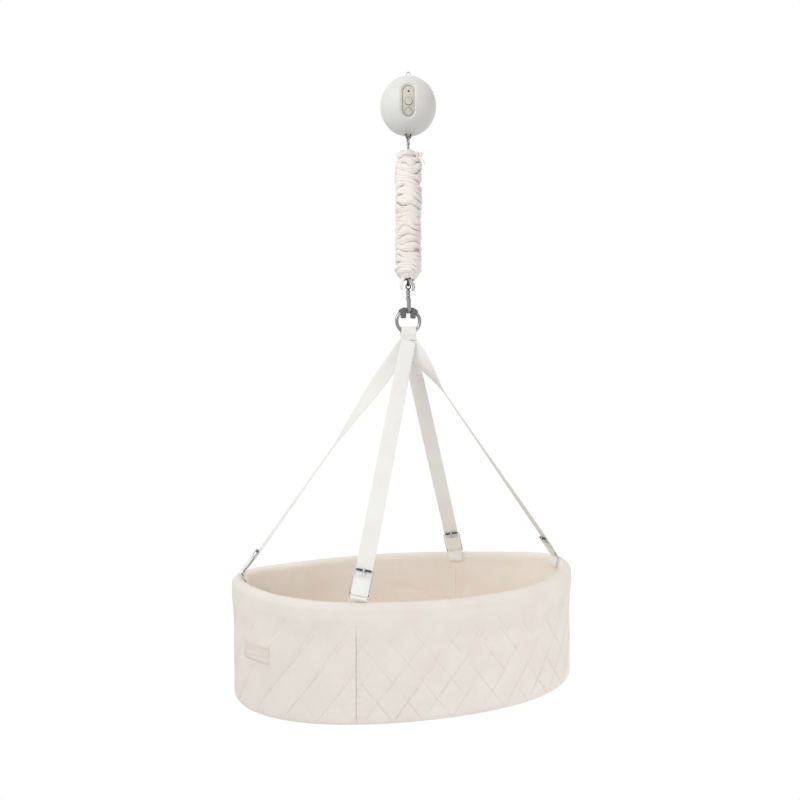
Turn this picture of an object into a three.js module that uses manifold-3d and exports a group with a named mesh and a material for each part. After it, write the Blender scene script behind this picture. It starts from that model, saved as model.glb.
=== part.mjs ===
import * as THREE from "three";
import { mergeVertices } from "three/addons/utils/BufferGeometryUtils.js";
import Module from "manifold-3d";

// Hanging baby cradle: a ball-shaped lifting motor, a sprung hanger in a gathered sleeve, a ring,
// four webbing straps and a quilted oval basket. Millimetres, +Z up. The origin is the highest point
// inside the ceiling eye, where the ceiling hook carries the cradle. +X runs along the basket.

const wasm = await Module();
wasm.setup();

const degrees = THREE.MathUtils.degToRad;

// Clearances and mesh steps
const gap = 0.3; // between pieces that touch
const overrun = 5; // how far a cut passes the face that it opens
const mergeDistance = 1e-4;
const ballSides = 26;
const ballRows = 16;
const hollowSides = 16;
const hollowRows = 10;
const boreSides = 14;
const bushSides = 24;
const smallSides = 8;
const finePinSides = 12;
const drumSides = 20;
const wireSides = 8;
const ringSteps = 30;
const curveSteps = 5;
const ovalSides = 44; // two columns for each quilted diamond

// Motor ball
const ballRadius = 64.5;
const shellWall = 2.5;
const motorYaw = degrees(-12.8); // turns the control panel from the basket's side
const eyeRise = 13.5; // from the ball's top to the inside of the ceiling eye
const eyeWire = 3;
const eyeHalfWidth = 4.2; // to the middle of the wire
const eyeShoulderRadius = 6.5;
const eyeShoulderHeight = 2.2;
const shankRadius = 3;
const nutRadius = 6;
const nutHeight = 5;
const seamGap = 0.15; // each shell stops this far from the ball's middle plane

// Control panel in the front shell
const panelElevation = degrees(-10.7);
const panelWidth = 38;
const panelHeight = 77;
const panelRecess = 5;
const panelLip = 1.2;
const panelDraft = 4.5; // how far the recess walls lean in
const panelFloor = 2.5;
const buttonRadius = 8;
const buttonProud = 2;
const buttonFlange = 1.2;
const buttonStem = 6.5;
const buttonTravel = 1.5;
const powerElevation = degrees(-13);
const modeElevation = degrees(-33.6);
const lensElevation = degrees(8);
const lensRadius = 2.3;
const lensDepth = 5;

// Inside the motor ball
const frameHalfWidth = 16; // inside the load frame
const framePlate = 3;
const frameCollar = 7;
const frameHalfHeight = 40;
const frameFront = 13;
const frameBack = 24;
const spoolRadius = 12;
const spoolFlange = 16;
const spoolHalfLength = 7;
const spoolFlangeThickness = 1.5;
const spoolHeight = 5; // above the ball's centre
const shaftRadius = 3;
const beltThickness = 1;
const beltWidth = 12;
const gearboxSize = [19, 34, 40];
const shaftEntry = 6; // how far the spool shaft reaches into the gearbox
const motorCanRadius = 12;
const motorCanLength = 11;
const motorCanShift = [8, -2]; // of the can's axis from the ball's middle, along Y and Z
const batterySize = [24, 26, 44];
const batteryShift = [5, 2];
const boardSize = [28, 1.6, 56];
const boardSetback = 38; // from the ball's middle plane to the board's front
const boardDrop = 10;
const boardPostRadius = 1.6;
const boardPostShares = [[0.43, 0.5], [-0.43, 0.5], [0.43, -0.22], [-0.43, -0.22]];
const screwRadius = 1.5;
const screwHeadRadius = 3;
const screwHeadHeight = 2.4;
const screwLength = 20;
const screwSeat = 8; // from the middle plane to the head's seat
const bossRadius = 4.5;
const bossHalfSpan = 28;
const bossDrop = 40;

// Lifting plunger with the lower eye
const plungerRadius = 7;
const plungerLength = 28;
const bushWall = 2.2;
const bushLength = 24;
const liftWire = 3;
const liftHalfWidth = 5.5;
const liftDrop = 7.5; // from the ball's bottom to the inside of the lower eye
const liftTravel = 24;

// Snap hooks, each seen with its bow upwards and its mouth to -Y
const upperHookSize = {
  inner: 5, bar: 4, thickness: 5, reach: 9, fork: 5.5, neck: 9.8, nose: 1, neckTop: 4.5, neckEnd: 2.8,
};
const lowerHookSize = {
  inner: 5.5, bar: 5.5, thickness: 8, reach: 22, fork: 8, neck: 12, nose: 4.5, neckTop: 5.6, neckEnd: 4.2,
};
const gateThickness = 2.6;
const gatePinRadius = 0.9;
const pivotDrop = 2.6; // from the fork's top to the gate's pivot
const gateRange = degrees(14);
const swayRange = degrees(25);
const swingRange = degrees(35);

// Swivel and lower eye
const stemRadius = 2;
const stemEntry = 5;
const stemShow = 2.8; // bare stem between the hook's neck and the ball
const swivelBall = 4.2;
const swivelRingRadius = 5.5;
const swivelWire = 3;

// Coil spring
const springWire = 4;
const springRadius = 16; // to the middle of the wire
const springCurls = 20;
const springLoopRadius = 7;
const springLead = 21; // height of the run from an end loop to the full coil
const springSpan = 291.7; // from the top of one end loop's wire middle to the bottom of the other's
const bounceUp = 20;
const bounceDown = 80;
const stepsPerCurl = 8;
const springSides = 5;

// Gathered sleeve over the spring
const sleeveRadius = 28.5;
const sleeveRuffle = 2.6;
const sleeveTopRise = 7.5; // above the upper swivel ring's middle
const sleeveBottomRise = 16; // above the lower swivel ring's middle
const sleeveSides = 20;
const sleeveBore = (springRadius + springWire / 2 + gap) / Math.cos(Math.PI / sleeveSides);
const sleeveRows = 30;
const sleeveGathers = 14;
const tiePlaceShares = [-0.46, -0.32]; // X and Y where a ribbon leaves the mouth, of the sleeve's radius
const tieLean = -6;
const tieWidth = 9;
const tieLength = 24;
const tabPlaceShares = [0.14, 0.39];
const tabLean = 3;
const tabWidth = 10;
const tabLength = 28;
const ribbon = 1.2;

// Ring that carries the straps
const ringRadius = 27.2; // to the middle of the wire
const ringWire = 8;
const stopWall = 2;
const stopStart = degrees(13);
const stopEnd = degrees(46);
const stopTabDrop = 18;
const stopTabWidth = 12.3;
const stopTabInset = 5.2;
const stopTabDepth = 10;

// Webbing
const webWidth = 35;
const webThickness = 1.8;
const crownRise = 11.2; // webbing stacked above the inside of the ring
const crownDrop = 20; // from the inside of the ring to the crown's lower edge
const crownWall = 4;
const crownStack = 8; // thickness of the four straps sewn together
const harnessHeight = 556.3; // from the middle of the ring's lowest wire to the basket's rim

// Buckles at the rim
const buckleWire = 2.4;
const buckleHeight = 55;
const buckleCorner = 2.2;
const rollerRadius = 2.2;
const rollerLength = 31;
const prongWall = 0.8;
const prongWidth = 3.6;
const prongLength = 8;
const prongPoint = 1;
const prongRange = degrees(80);
const middleBarRise = 7.5; // from the lower bar, which holds the rim tab, to the bar in the strap's fold
const hangInset = 24; // of the strap's line from the basket's outside, at the lower bar
const hangHeight = 6; // of the lower bar above the rim
const faceShift = 3.5; // of the buckle from the strap's line
const foldLength = 42;
const tabEnd = degrees(108); // how far the rim tab follows the roll, from the roll's top
const frontStrapAngle = degrees(247);
const backStrapAngle = degrees(63);
const twistShares = [0.1, 0.82]; // where a strap's turn towards the rim begins and ends

// Basket
const basketHalfLength = 394;
const basketHalfWidth = 218;
const basketHeight = 238;
const basketTaper = 5; // how far the walls lean in at the bottom
const rimRise = 18; // the ends of the rim stand this much higher than its sides
const rollRadius = 14;
const wallInset = 5; // of the quilted wall from the roll's outermost line
const wallThickness = 8.2;
const lipDepth = 26;
const bottomRadius = 16;
const floorThickness = 4;
const quiltTop = 36;
const quiltRows = 3;
const quiltPuff = 4;
const hoopRadius = 4.9;
const boardThickness = 6;
const boardInset = 36;
const liningFloor = 3;
const mattressThickness = 32;
const mattressCrown = 5;
const mattressInset = 35;
const mattressLift = 150;
const labelWidth = 66;
const labelHeight = 30;
const labelThickness = 0.8;
const labelAngle = degrees(209);
const labelDrop = 117; // of its middle below the rim

// Places down the hanging line
const ballZ = -(eyeRise + ballRadius);
const ballTop = ballZ + ballRadius;
const ballBottom = ballZ - ballRadius;
const liftSeat = ballBottom - liftDrop;
const liftInner = liftHalfWidth - liftWire / 2;
const seatRise = liftInner - Math.sqrt(liftInner ** 2 - (upperHookSize.thickness / 2) ** 2);
const upperBow = liftSeat + seatRise + gap - upperHookSize.inner;
const upperNeckEnd = upperBow - upperHookSize.reach - upperHookSize.fork - upperHookSize.neck;
const swivelBallZ = upperNeckEnd - stemShow - swivelBall;
const upperRingZ = swivelBallZ - swivelBall - swivelRingRadius + gap;
const loopBite = (swivelWire + springWire) / 2 + gap; // between the middles of two linked wires
const springTop = upperRingZ - swivelRingRadius + loopBite;
const springBottom = springTop - springSpan - loopBite + gap;
const lowerRingZ = springBottom + loopBite - swivelRingRadius;
const lowerNeckEnd = lowerRingZ - swivelRingRadius - swivelWire - stemShow / 2;
const lowerBow = lowerNeckEnd - lowerHookSize.neck - lowerHookSize.fork - lowerHookSize.reach;
const ringInner = ringRadius - ringWire / 2;
const hookSeat = ringInner - Math.sqrt(ringInner ** 2 - (lowerHookSize.thickness / 2) ** 2);
const ringTop = lowerBow - lowerHookSize.inner + hookSeat + gap + ringWire / 2;
const ringZ = ringTop - ringRadius;
const ringBottom = ringZ - ringRadius;
const rimZ = ringBottom - harnessHeight;
const crownBottom = ringBottom + ringWire / 2 - crownDrop;

const vector = (x, y, z) => new THREE.Vector3(x, y, z);
const xAxis = vector(1, 0, 0);
const yAxis = vector(0, 1, 0);
const zAxis = vector(0, 0, 1);
const along = (start, ...steps) =>
  steps.reduce((point, [direction, length]) => point.addScaledVector(direction, length), start.clone());

// Solids and booleans

function solid(geometry) {
  const source = geometry.index ? geometry.toNonIndexed() : geometry;
  const bare = new THREE.BufferGeometry().setAttribute("position", source.getAttribute("position"));
  const merged = mergeVertices(bare, mergeDistance);
  const vertProperties = merged.attributes.position.array;
  const triVerts = new Uint32Array(merged.index.array);
  return new wasm.Manifold(new wasm.Mesh({ numProp: 3, vertProperties, triVerts }));
}

function geometryOf(manifold) {
  const { vertProperties, triVerts } = manifold.getMesh();
  const geometry = new THREE.BufferGeometry();
  geometry.setAttribute("position", new THREE.BufferAttribute(new Float32Array(vertProperties), 3));
  return geometry.setIndex(new THREE.BufferAttribute(new Uint32Array(triVerts), 1));
}

const join = (first, ...others) => others.reduce((whole, other) => whole.add(other), first);
const cut = (first, ...others) => others.reduce((whole, other) => whole.subtract(other), first);

// Turns a geometry made along +Z so that its Z runs along a direction from a point.
function place(geometry, origin, direction) {
  const turn = new THREE.Quaternion().setFromUnitVectors(zAxis, direction.clone().normalize());
  return geometry.applyQuaternion(turn).translate(origin.x, origin.y, origin.z);
}

// A round bar or cone between two points.
function bar(from, to, radius, endRadius = radius, sides = boreSides) {
  const length = from.distanceTo(to);
  const geometry = new THREE.CylinderGeometry(endRadius, radius, length, sides).rotateX(Math.PI / 2);
  return solid(place(geometry.translate(0, 0, length / 2), from, to.clone().sub(from)));
}

// A box between two opposite corners.
function block(low, high) {
  const size = high.clone().sub(low);
  const middle = low.clone().add(high).multiplyScalar(0.5);
  const geometry = new THREE.BoxGeometry(size.x, size.y, size.z);
  return solid(geometry.translate(middle.x, middle.y, middle.z));
}

function ball(centre, radius, across = ballSides, down = ballRows) {
  const geometry = new THREE.SphereGeometry(radius, across, down).rotateX(Math.PI / 2);
  return solid(geometry.translate(centre.x, centre.y, centre.z));
}

// A flat outline in a plane, given thickness on both sides of that plane.
function plate(shape, thickness, origin, acrossAxis, upAxis, bevel = 0) {
  const options = { depth: thickness - 2 * bevel, curveSegments: curveSteps, bevelEnabled: bevel > 0 };
  Object.assign(options, { bevelSize: bevel, bevelThickness: bevel, bevelOffset: -bevel, bevelSegments: 1 });
  const geometry = new THREE.ExtrudeGeometry(shape, options).translate(0, 0, bevel - thickness / 2);
  const basis = new THREE.Matrix4().makeBasis(acrossAxis, upAxis, acrossAxis.clone().cross(upAxis));
  return solid(geometry.applyMatrix4(basis.setPosition(origin)));
}

// A skin over a list of rings of points. A ring of one point closes the skin; other ends get a flat cap.
function loft(rings, looped = false, crossed = () => false) {
  const points = rings.flat();
  const faces = [];
  const starts = rings.map((_, i) => rings.slice(0, i).reduce((sum, ring) => sum + ring.length, 0));
  for (let i = 0; i < (looped ? rings.length : rings.length - 1); i++) {
    const next = (i + 1) % rings.length;
    const [near, far] = [starts[i], starts[next]];
    const sides = Math.max(rings[i].length, rings[next].length);
    for (let j = 0; j < sides; j++) {
      const k = (j + 1) % sides;
      if (rings[i].length === 1) faces.push(near, far + j, far + k);
      else if (rings[next].length === 1) faces.push(near + j, far, near + k);
      else if (crossed(i, j)) faces.push(near + j, far + j, near + k, near + k, far + j, far + k);
      else faces.push(near + j, far + j, far + k, near + j, far + k, near + k);
    }
  }
  const last = rings.length - 1;
  if (!looped && rings[0].length > 1) cap(points, faces, starts[0], rings[0], false);
  if (!looped && rings[last].length > 1) cap(points, faces, starts[last], rings[last], true);
  return facingOut(points, faces);
}

function cap(points, faces, start, ring, reversed) {
  const middle = ring.reduce((sum, point) => sum.add(point), vector(0, 0, 0)).divideScalar(ring.length);
  const centre = points.push(middle) - 1;
  ring.forEach((_, j) => {
    const k = (j + 1) % ring.length;
    faces.push(centre, start + (reversed ? k : j), start + (reversed ? j : k));
  });
}

function facingOut(points, faces) {
  let volume = 0;
  for (let i = 0; i < faces.length; i += 3) {
    const [a, b, c] = [points[faces[i]], points[faces[i + 1]], points[faces[i + 2]]];
    volume += a.dot(b.clone().cross(c));
  }
  const order = volume < 0 ? faces.slice().reverse() : faces;
  const geometry = new THREE.BufferGeometry().setFromPoints(points);
  return geometry.setIndex(order);
}

// Points of a round section, as offsets along two directions.
const round = (radius, sides = wireSides, flat = 1) =>
  Array.from({ length: sides }, (_, i) => {
    const angle = (2 * Math.PI * (i + 0.5)) / sides;
    return [radius * Math.cos(angle), radius * flat * Math.sin(angle)];
  });

const section = (centre, across, up, offsets) =>
  offsets.map(([a, b]) => along(centre, [across, a], [up, b]));

// A bar bent along points that lie in one plane, whose normal is given.
function bentBar(points, normal, offsets, looped = false) {
  const count = points.length;
  const rings = points.map((point, i) => {
    const before = points[looped ? (i + count - 1) % count : Math.max(i - 1, 0)];
    const after = points[looped ? (i + 1) % count : Math.min(i + 1, count - 1)];
    const heading = after.clone().sub(before).normalize();
    return section(point, normal, heading.cross(normal).normalize(), offsets);
  });
  return loft(rings, looped);
}

// A tube along any points, with its section carried along without twist.
function tube(points, offsets) {
  let side = null;
  const rings = points.map((point, i) => {
    const before = points[Math.max(i - 1, 0)];
    const after = points[Math.min(i + 1, points.length - 1)];
    const heading = after.clone().sub(before).normalize();
    side ??= Math.abs(heading.x) < 0.9 ? xAxis.clone() : yAxis.clone();
    side = along(side, [heading, -side.dot(heading)]).normalize();
    return section(point, side, heading.cross(side), offsets);
  });
  return loft(rings);
}

function arc(centre, radius, from, to, steps, across, up) {
  return Array.from({ length: steps + 1 }, (_, i) => {
    const angle = from + ((to - from) * i) / steps;
    return along(centre, [across, radius * Math.cos(angle)], [up, radius * Math.sin(angle)]);
  });
}

const wireRing = (centre, radius, wire, normal, across, steps = 24, sides = wireSides) => {
  const up = normal.clone().cross(across);
  const points = arc(centre, radius, 0, 2 * Math.PI, steps, across, up).slice(0, -1);
  return bentBar(points, normal, round(wire / 2, sides), true);
};

// Scene graph

const materials = {
  shell: new THREE.MeshStandardMaterial({ color: 0xe6e5df, roughness: 0.6 }),
  panel: new THREE.MeshStandardMaterial({ color: 0xebe5d9, roughness: 0.55 }),
  dark: new THREE.MeshStandardMaterial({ color: 0x3a3a3c, roughness: 0.5 }),
  steel: new THREE.MeshStandardMaterial({ color: 0xb4b4b6, roughness: 0.35, metalness: 1 }),
  chrome: new THREE.MeshStandardMaterial({ color: 0xd8d8da, roughness: 0.12, metalness: 1 }),
  rubber: new THREE.MeshStandardMaterial({ color: 0x55565a, roughness: 0.85 }),
  board: new THREE.MeshStandardMaterial({ color: 0x2f6b45, roughness: 0.6 }),
  sleeve: new THREE.MeshStandardMaterial({ color: 0xf8f0e6, roughness: 0.9 }),
  webbing: new THREE.MeshStandardMaterial({ color: 0xf2eee8, roughness: 0.85 }),
  quilt: new THREE.MeshStandardMaterial({ color: 0xebe2da, roughness: 0.95 }),
  lining: new THREE.MeshStandardMaterial({ color: 0xe6d4c4, roughness: 0.95 }),
  wood: new THREE.MeshStandardMaterial({ color: 0xc9a878, roughness: 0.7 }),
};

const cradle = new THREE.Group();
const motor = new THREE.Group(); // everything in the ball, turned so that the panel faces its user
motor.rotation.z = motorYaw;
cradle.add(motor);
const joints = [];

function add(group, name, geometry, material) {
  const shape = geometry.isBufferGeometry ? geometry : geometryOf(geometry);
  const mesh = new THREE.Mesh(shape, material.clone());
  mesh.name = name;
  group.add(mesh);
}

// Records where a joint turns or slides, in the cradle's frame, for anyone who moves the parts.
function joint(name, kind, at, axis, range) {
  joints.push({ name, kind, at: at.toArray(), axis: axis.clone().normalize().toArray(), range });
}

const turned = (point) => point.clone().applyAxisAngle(zAxis, motorYaw);
const fromBall = (x, y, z) => vector(x, y, ballZ + z);

// Motor ball

function ceilingEye() {
  const half = eyeWire / 2;
  const low = -eyeRise + eyeShoulderHeight + eyeHalfWidth - half;
  const high = half - eyeHalfWidth;
  const upper = arc(vector(0, 0, high), eyeHalfWidth, 0, Math.PI, 7, xAxis, zAxis);
  const lower = arc(vector(0, 0, low), eyeHalfWidth, Math.PI, 2 * Math.PI, 7, xAxis, zAxis);
  const loop = solid(bentBar([...upper, ...lower], yAxis, round(half, 6), true));
  const foot = vector(0, 0, ballTop + gap);
  const shoulder = bar(foot, along(foot, [zAxis, eyeShoulderHeight]), eyeShoulderRadius, shankRadius);
  const shank = bar(vector(0, 0, ballZ + frameHalfHeight - nutHeight - gap), foot, shankRadius);
  add(motor, "ceiling_eye", join(loop, shoulder, shank), materials.steel);
}

function eyeNut() {
  const high = fromBall(0, 0, frameHalfHeight - gap);
  const low = along(high, [zAxis, -nutHeight]);
  const nut = bar(low, high, nutRadius, nutRadius, 6);
  const bore = bar(along(low, [zAxis, -overrun]), along(high, [zAxis, overrun]), shankRadius + gap);
  add(motor, "eye_nut", cut(nut, bore), materials.steel);
}

// A pill-shaped outline for the control panel, shrunk by a margin.
function pill(margin) {
  const radius = panelWidth / 2 - margin;
  const straight = panelHeight / 2 - panelWidth / 2;
  const shape = new THREE.Shape();
  shape.absarc(0, straight, radius, 0, Math.PI);
  shape.absarc(0, -straight, radius, Math.PI, 2 * Math.PI);
  return shape;
}

const radial = (elevation) => vector(0, -Math.cos(elevation), Math.sin(elevation));

// A straight-sided pill that runs out through the front shell.
function pillPrism(margin) {
  const outward = radial(panelElevation);
  const up = xAxis.clone().cross(outward).negate();
  const reach = ballRadius;
  return plate(pill(margin), reach, along(fromBall(0, 0, 0), [outward, reach]), xAxis, up);
}

// The recess: a pill that narrows towards the ball's centre.
function recess() {
  const outward = radial(panelElevation);
  const up = xAxis.clone().cross(outward).negate();
  const ringAt = (distance, margin) => {
    const centre = along(fromBall(0, 0, 0), [outward, distance]);
    const outline = pill(margin).getPoints(curveSteps).slice(0, -1);
    return outline.map((p) => along(centre, [xAxis, p.x], [up, p.y]));
  };
  const sag = ballRadius - Math.sqrt(ballRadius ** 2 - (panelHeight / 2) ** 2);
  const low = ballRadius - sag - panelRecess;
  return solid(loft([ringAt(low, panelLip + panelDraft), ringAt(ballRadius + overrun, panelLip)]));
}

const bossPlaces = [-bossHalfSpan, bossHalfSpan];

function shells() {
  const outer = ball(fromBall(0, 0, 0), ballRadius);
  const inner = ball(fromBall(0, 0, 0), ballRadius - shellWall, hollowSides, hollowRows);
  const side = ballRadius + overrun;
  const bosses = bossPlaces.map((x) => bossRod(x, bossRadius, -side, side).intersect(outer));
  const topHole = bar(vector(0, 0, ballZ), vector(0, 0, ballTop + overrun), shankRadius + gap);
  const bushRadius = plungerRadius + gap + bushWall + gap;
  const below = vector(0, 0, ballBottom - overrun);
  const bottomHole = bar(vector(0, 0, ballZ), below, bushRadius, bushRadius, bushSides);
  const hollow = join(cut(inner, ...bosses), topHole, bottomHole);
  const frontHalf = block(fromBall(-side, -side, -side), fromBall(side, -seamGap, side));
  const rearHalf = block(fromBall(-side, seamGap, -side), fromBall(side, side, side));
  const pilots = bossPlaces.map((x) => bossRod(x, screwRadius + gap, -screwLength, 0));
  const front = cut(outer.intersect(frontHalf), hollow, pillPrism(-gap), ...pilots);
  const passages = bossPlaces.map((x) => bossRod(x, screwRadius + gap, -overrun, side));
  const counterbores = bossPlaces.map((x) => bossRod(x, screwHeadRadius + gap, screwSeat, side));
  const rear = cut(outer.intersect(rearHalf), hollow, ...passages, ...counterbores);
  add(motor, "shell_front", front, materials.shell);
  add(motor, "shell_rear", rear, materials.shell);
}

// A rod along Y where a boss stands, between two places from the middle plane.
function bossRod(x, radius, from, to) {
  return bar(fromBall(x, from, -bossDrop), fromBall(x, to, -bossDrop), radius, radius, smallSides);
}

function shellScrews() {
  bossPlaces.forEach((x, i) => {
    const shaft = bossRod(x, screwRadius, screwSeat + gap - screwLength, screwSeat + gap);
    const head = bossRod(x, screwHeadRadius, screwSeat + gap, screwSeat + gap + screwHeadHeight);
    add(motor, ["shell_screw_left", "shell_screw_right"][i], join(shaft, head), materials.steel);
  });
}

const floorRadius = ballRadius - panelRecess;
const buttonSeat = floorRadius - panelFloor / 2; // flat seat behind the panel's floor
const buttonEnd = buttonSeat - gap - buttonStem;

function controlPanel() {
  const outer = ball(fromBall(0, 0, 0), ballRadius);
  const floorBall = ball(fromBall(0, 0, 0), floorRadius);
  const back = ball(fromBall(0, 0, 0), floorRadius - panelFloor, hollowSides, hollowRows);
  const body = cut(pillPrism(0).intersect(outer), back, cut(recess(), floorBall));
  const posts = boardPostShares.map(([x, z]) => {
    const start = fromBall(x * boardSize[0], -boardSetback - gap, z * boardSize[2] - boardDrop);
    const end = vector(start.x, -floorRadius + panelFloor / 2, start.z);
    return bar(start, end, boardPostRadius, boardPostRadius, smallSides);
  });
  const holes = [powerElevation, modeElevation].flatMap((e) => [
    radialRod(e, 0, ballRadius, buttonRadius + gap),
    radialRod(e, 0, buttonSeat, buttonRadius + 3 * gap),
  ]);
  const lensHole = radialRod(lensElevation, 0, ballRadius, lensRadius + gap);
  const limit = ball(fromBall(0, 0, 0), floorRadius - panelFloor / 2);
  const trimmed = posts.map((post) => post.intersect(limit));
  add(motor, "control_panel", cut(join(body, ...trimmed), ...holes, lensHole), materials.panel);
}

function radialRod(elevation, from, to, radius, endRadius = radius, sides = 16) {
  const outward = radial(elevation);
  const centre = fromBall(0, 0, 0);
  return bar(along(centre, [outward, from]), along(centre, [outward, to]), radius, endRadius, sides);
}

function buttonsAndLens() {
  const buttons = { power_button: powerElevation, mode_button: modeElevation };
  for (const [name, elevation] of Object.entries(buttons)) {
    const inside = buttonSeat - gap;
    const brow = floorRadius + buttonProud / 2;
    const face = floorRadius + buttonProud;
    const stem = radialRod(elevation, inside - buttonFlange / 2, brow, buttonRadius);
    const crown = radialRod(elevation, brow, face, buttonRadius, buttonRadius - buttonProud / 2);
    const flange = radialRod(elevation, inside - buttonFlange, inside, buttonRadius + 2 * gap);
    const plunger = radialRod(elevation, buttonEnd, inside, buttonRadius / 3, buttonRadius / 3, smallSides);
    add(motor, name, join(stem, crown, flange, plunger), materials.panel);
    const inward = turned(radial(elevation)).negate();
    joint(name + "_press", "slide", vector(0, 0, ballZ), inward, [0, buttonTravel]);
  }
  const lens = radialRod(lensElevation, floorRadius - lensDepth, floorRadius, lensRadius);
  add(motor, "indicator_lens", lens, materials.dark);
}

const spoolCentre = fromBall(0, spoolRadius + beltThickness / 2 + gap, spoolHeight);

function loadFrame() {
  const wide = frameHalfWidth + framePlate;
  const tall = frameHalfHeight + framePlate;
  const body = block(fromBall(-wide, -frameFront, -tall), fromBall(wide, frameBack, tall));
  const inside = block(
    fromBall(-frameHalfWidth, -frameFront - overrun, -frameHalfHeight),
    fromBall(frameHalfWidth, frameBack + overrun, frameHalfHeight),
  );
  const eyeHole = bar(fromBall(0, 0, 0), vector(0, 0, ballTop), shankRadius + gap);
  const bushHole = bar(fromBall(0, 0, 0), vector(0, 0, ballBottom), plungerRadius + bushWall + 2 * gap);
  const reach = wide + overrun;
  const [left, right] = [-reach, reach].map((x) => along(spoolCentre, [xAxis, x]));
  const shaftHole = bar(left, right, shaftRadius + gap);
  const crown = ballRadius - shellWall - framePlate / 2;
  const collar = bar(fromBall(0, 0, frameHalfHeight), fromBall(0, 0, crown), frameCollar);
  add(motor, "load_frame", cut(join(body, collar), inside, eyeHole, bushHole, shaftHole), materials.steel);
}

function winchSpool() {
  const at = (x) => along(spoolCentre, [xAxis, x]);
  const core = bar(at(-spoolHalfLength), at(spoolHalfLength), spoolRadius, spoolRadius, drumSides);
  const flanges = [-1, 1].map((side) => {
    const from = at(side * spoolHalfLength);
    const to = at(side * (spoolHalfLength + spoolFlangeThickness));
    return bar(from, to, spoolFlange, spoolFlange, drumSides);
  });
  const left = -(frameHalfWidth + framePlate);
  const right = frameHalfWidth + framePlate + gap + shaftEntry;
  add(motor, "winch_spool", join(core, ...flanges, bar(at(left), at(right), shaftRadius)), materials.steel);
  joint("spool_turn", "hinge", turned(spoolCentre), turned(xAxis), [0, liftTravel / spoolRadius]);
}

function gearedMotor() {
  const face = frameHalfWidth + framePlate + gap;
  const [length, depth, height] = gearboxSize;
  const low = along(spoolCentre, [xAxis, face], [yAxis, -depth / 2], [zAxis, -height / 2]);
  const high = along(low, [xAxis, length], [yAxis, depth], [zAxis, height]);
  const entry = along(spoolCentre, [xAxis, face + shaftEntry + gap]);
  const socket = bar(spoolCentre, entry, shaftRadius + gap);
  add(motor, "gearbox", cut(block(low, high), socket), materials.dark);
  const start = fromBall(face + length + gap, ...motorCanShift);
  const can = bar(start, along(start, [xAxis, motorCanLength]), motorCanRadius, motorCanRadius, drumSides);
  add(motor, "gear_motor", can, materials.steel);
}

function battery() {
  const face = -(frameHalfWidth + framePlate + gap);
  const [length, depth, height] = batterySize;
  const [y, z] = batteryShift;
  const low = fromBall(face - length, y - depth / 2, z - height / 2);
  add(motor, "battery_pack", block(low, fromBall(face, y + depth / 2, z + height / 2)), materials.dark);
}

function circuitBoard() {
  const [width, thickness, height] = boardSize;
  const low = fromBall(-width / 2, -boardSetback, -height / 2 - boardDrop);
  const high = fromBall(width / 2, thickness - boardSetback, height / 2 - boardDrop);
  const board = block(low, high);
  const switches = [powerElevation, modeElevation].map((elevation) => {
    const foot = boardSetback / Math.cos(elevation) - thickness / 2;
    const tip = buttonEnd - buttonTravel - gap;
    return radialRod(elevation, foot, tip, buttonRadius / 2, buttonRadius / 2, smallSides);
  });
  add(motor, "circuit_board", join(board, ...switches), materials.board);
}

function guideBush() {
  const outer = plungerRadius + gap + bushWall;
  const sag = ballRadius - Math.sqrt(ballRadius ** 2 - (outer + gap) ** 2);
  const low = vector(0, 0, ballBottom + sag);
  const body = bar(low, along(low, [zAxis, bushLength]), outer, outer, bushSides);
  const [under, over] = [-overrun, bushLength + overrun].map((z) => along(low, [zAxis, z]));
  const bore = bar(under, over, plungerRadius + gap);
  add(motor, "guide_bush", cut(body, bore), materials.dark);
}

// Lifting plunger and belt

function liftEye() {
  const plungerTop = ballBottom + plungerLength;
  const plunger = bar(vector(0, 0, ballBottom), vector(0, 0, plungerTop), plungerRadius);
  const bendZ = liftSeat - liftWire / 2 + liftHalfWidth;
  const bend = arc(vector(0, 0, bendZ), liftHalfWidth, Math.PI, 2 * Math.PI, 10, xAxis, zAxis);
  const legTop = ballBottom + liftWire / 2;
  const path = [vector(-liftHalfWidth, 0, legTop), ...bend, vector(liftHalfWidth, 0, legTop)];
  const loop = solid(bentBar(path, yAxis, round(liftWire / 2)));
  add(motor, "lift_eye", join(plunger, loop), materials.steel);
  joint("lift_slide", "slide", vector(0, 0, liftSeat), zAxis.clone().negate(), [0, liftTravel]);
  const half = vector(beltWidth / 2, beltThickness / 2, 0);
  const low = vector(0, 0, plungerTop + gap).sub(half);
  const high = vector(0, 0, spoolCentre.z).add(half);
  add(motor, "lift_belt", block(low, high), materials.webbing);
}

// Snap hooks

function hookOutline({ inner, bar: thick, reach, fork, nose, neckTop }) {
  const outer = inner + thick;
  const shape = new THREE.Shape();
  shape.moveTo(-outer, -nose);
  shape.lineTo(-outer, 0);
  shape.absarc(0, 0, outer, Math.PI, 0, true);
  shape.lineTo(outer, -reach);
  shape.quadraticCurveTo(outer, -reach - fork, neckTop, -reach - fork);
  shape.lineTo(-neckTop, -reach - fork);
  shape.quadraticCurveTo(-outer, -reach - fork, -outer, -reach);
  shape.lineTo(inner, -reach);
  shape.lineTo(inner, 0);
  shape.absarc(0, 0, inner, 0, Math.PI, false);
  shape.lineTo(-inner, -nose);
  return shape;
}

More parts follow.
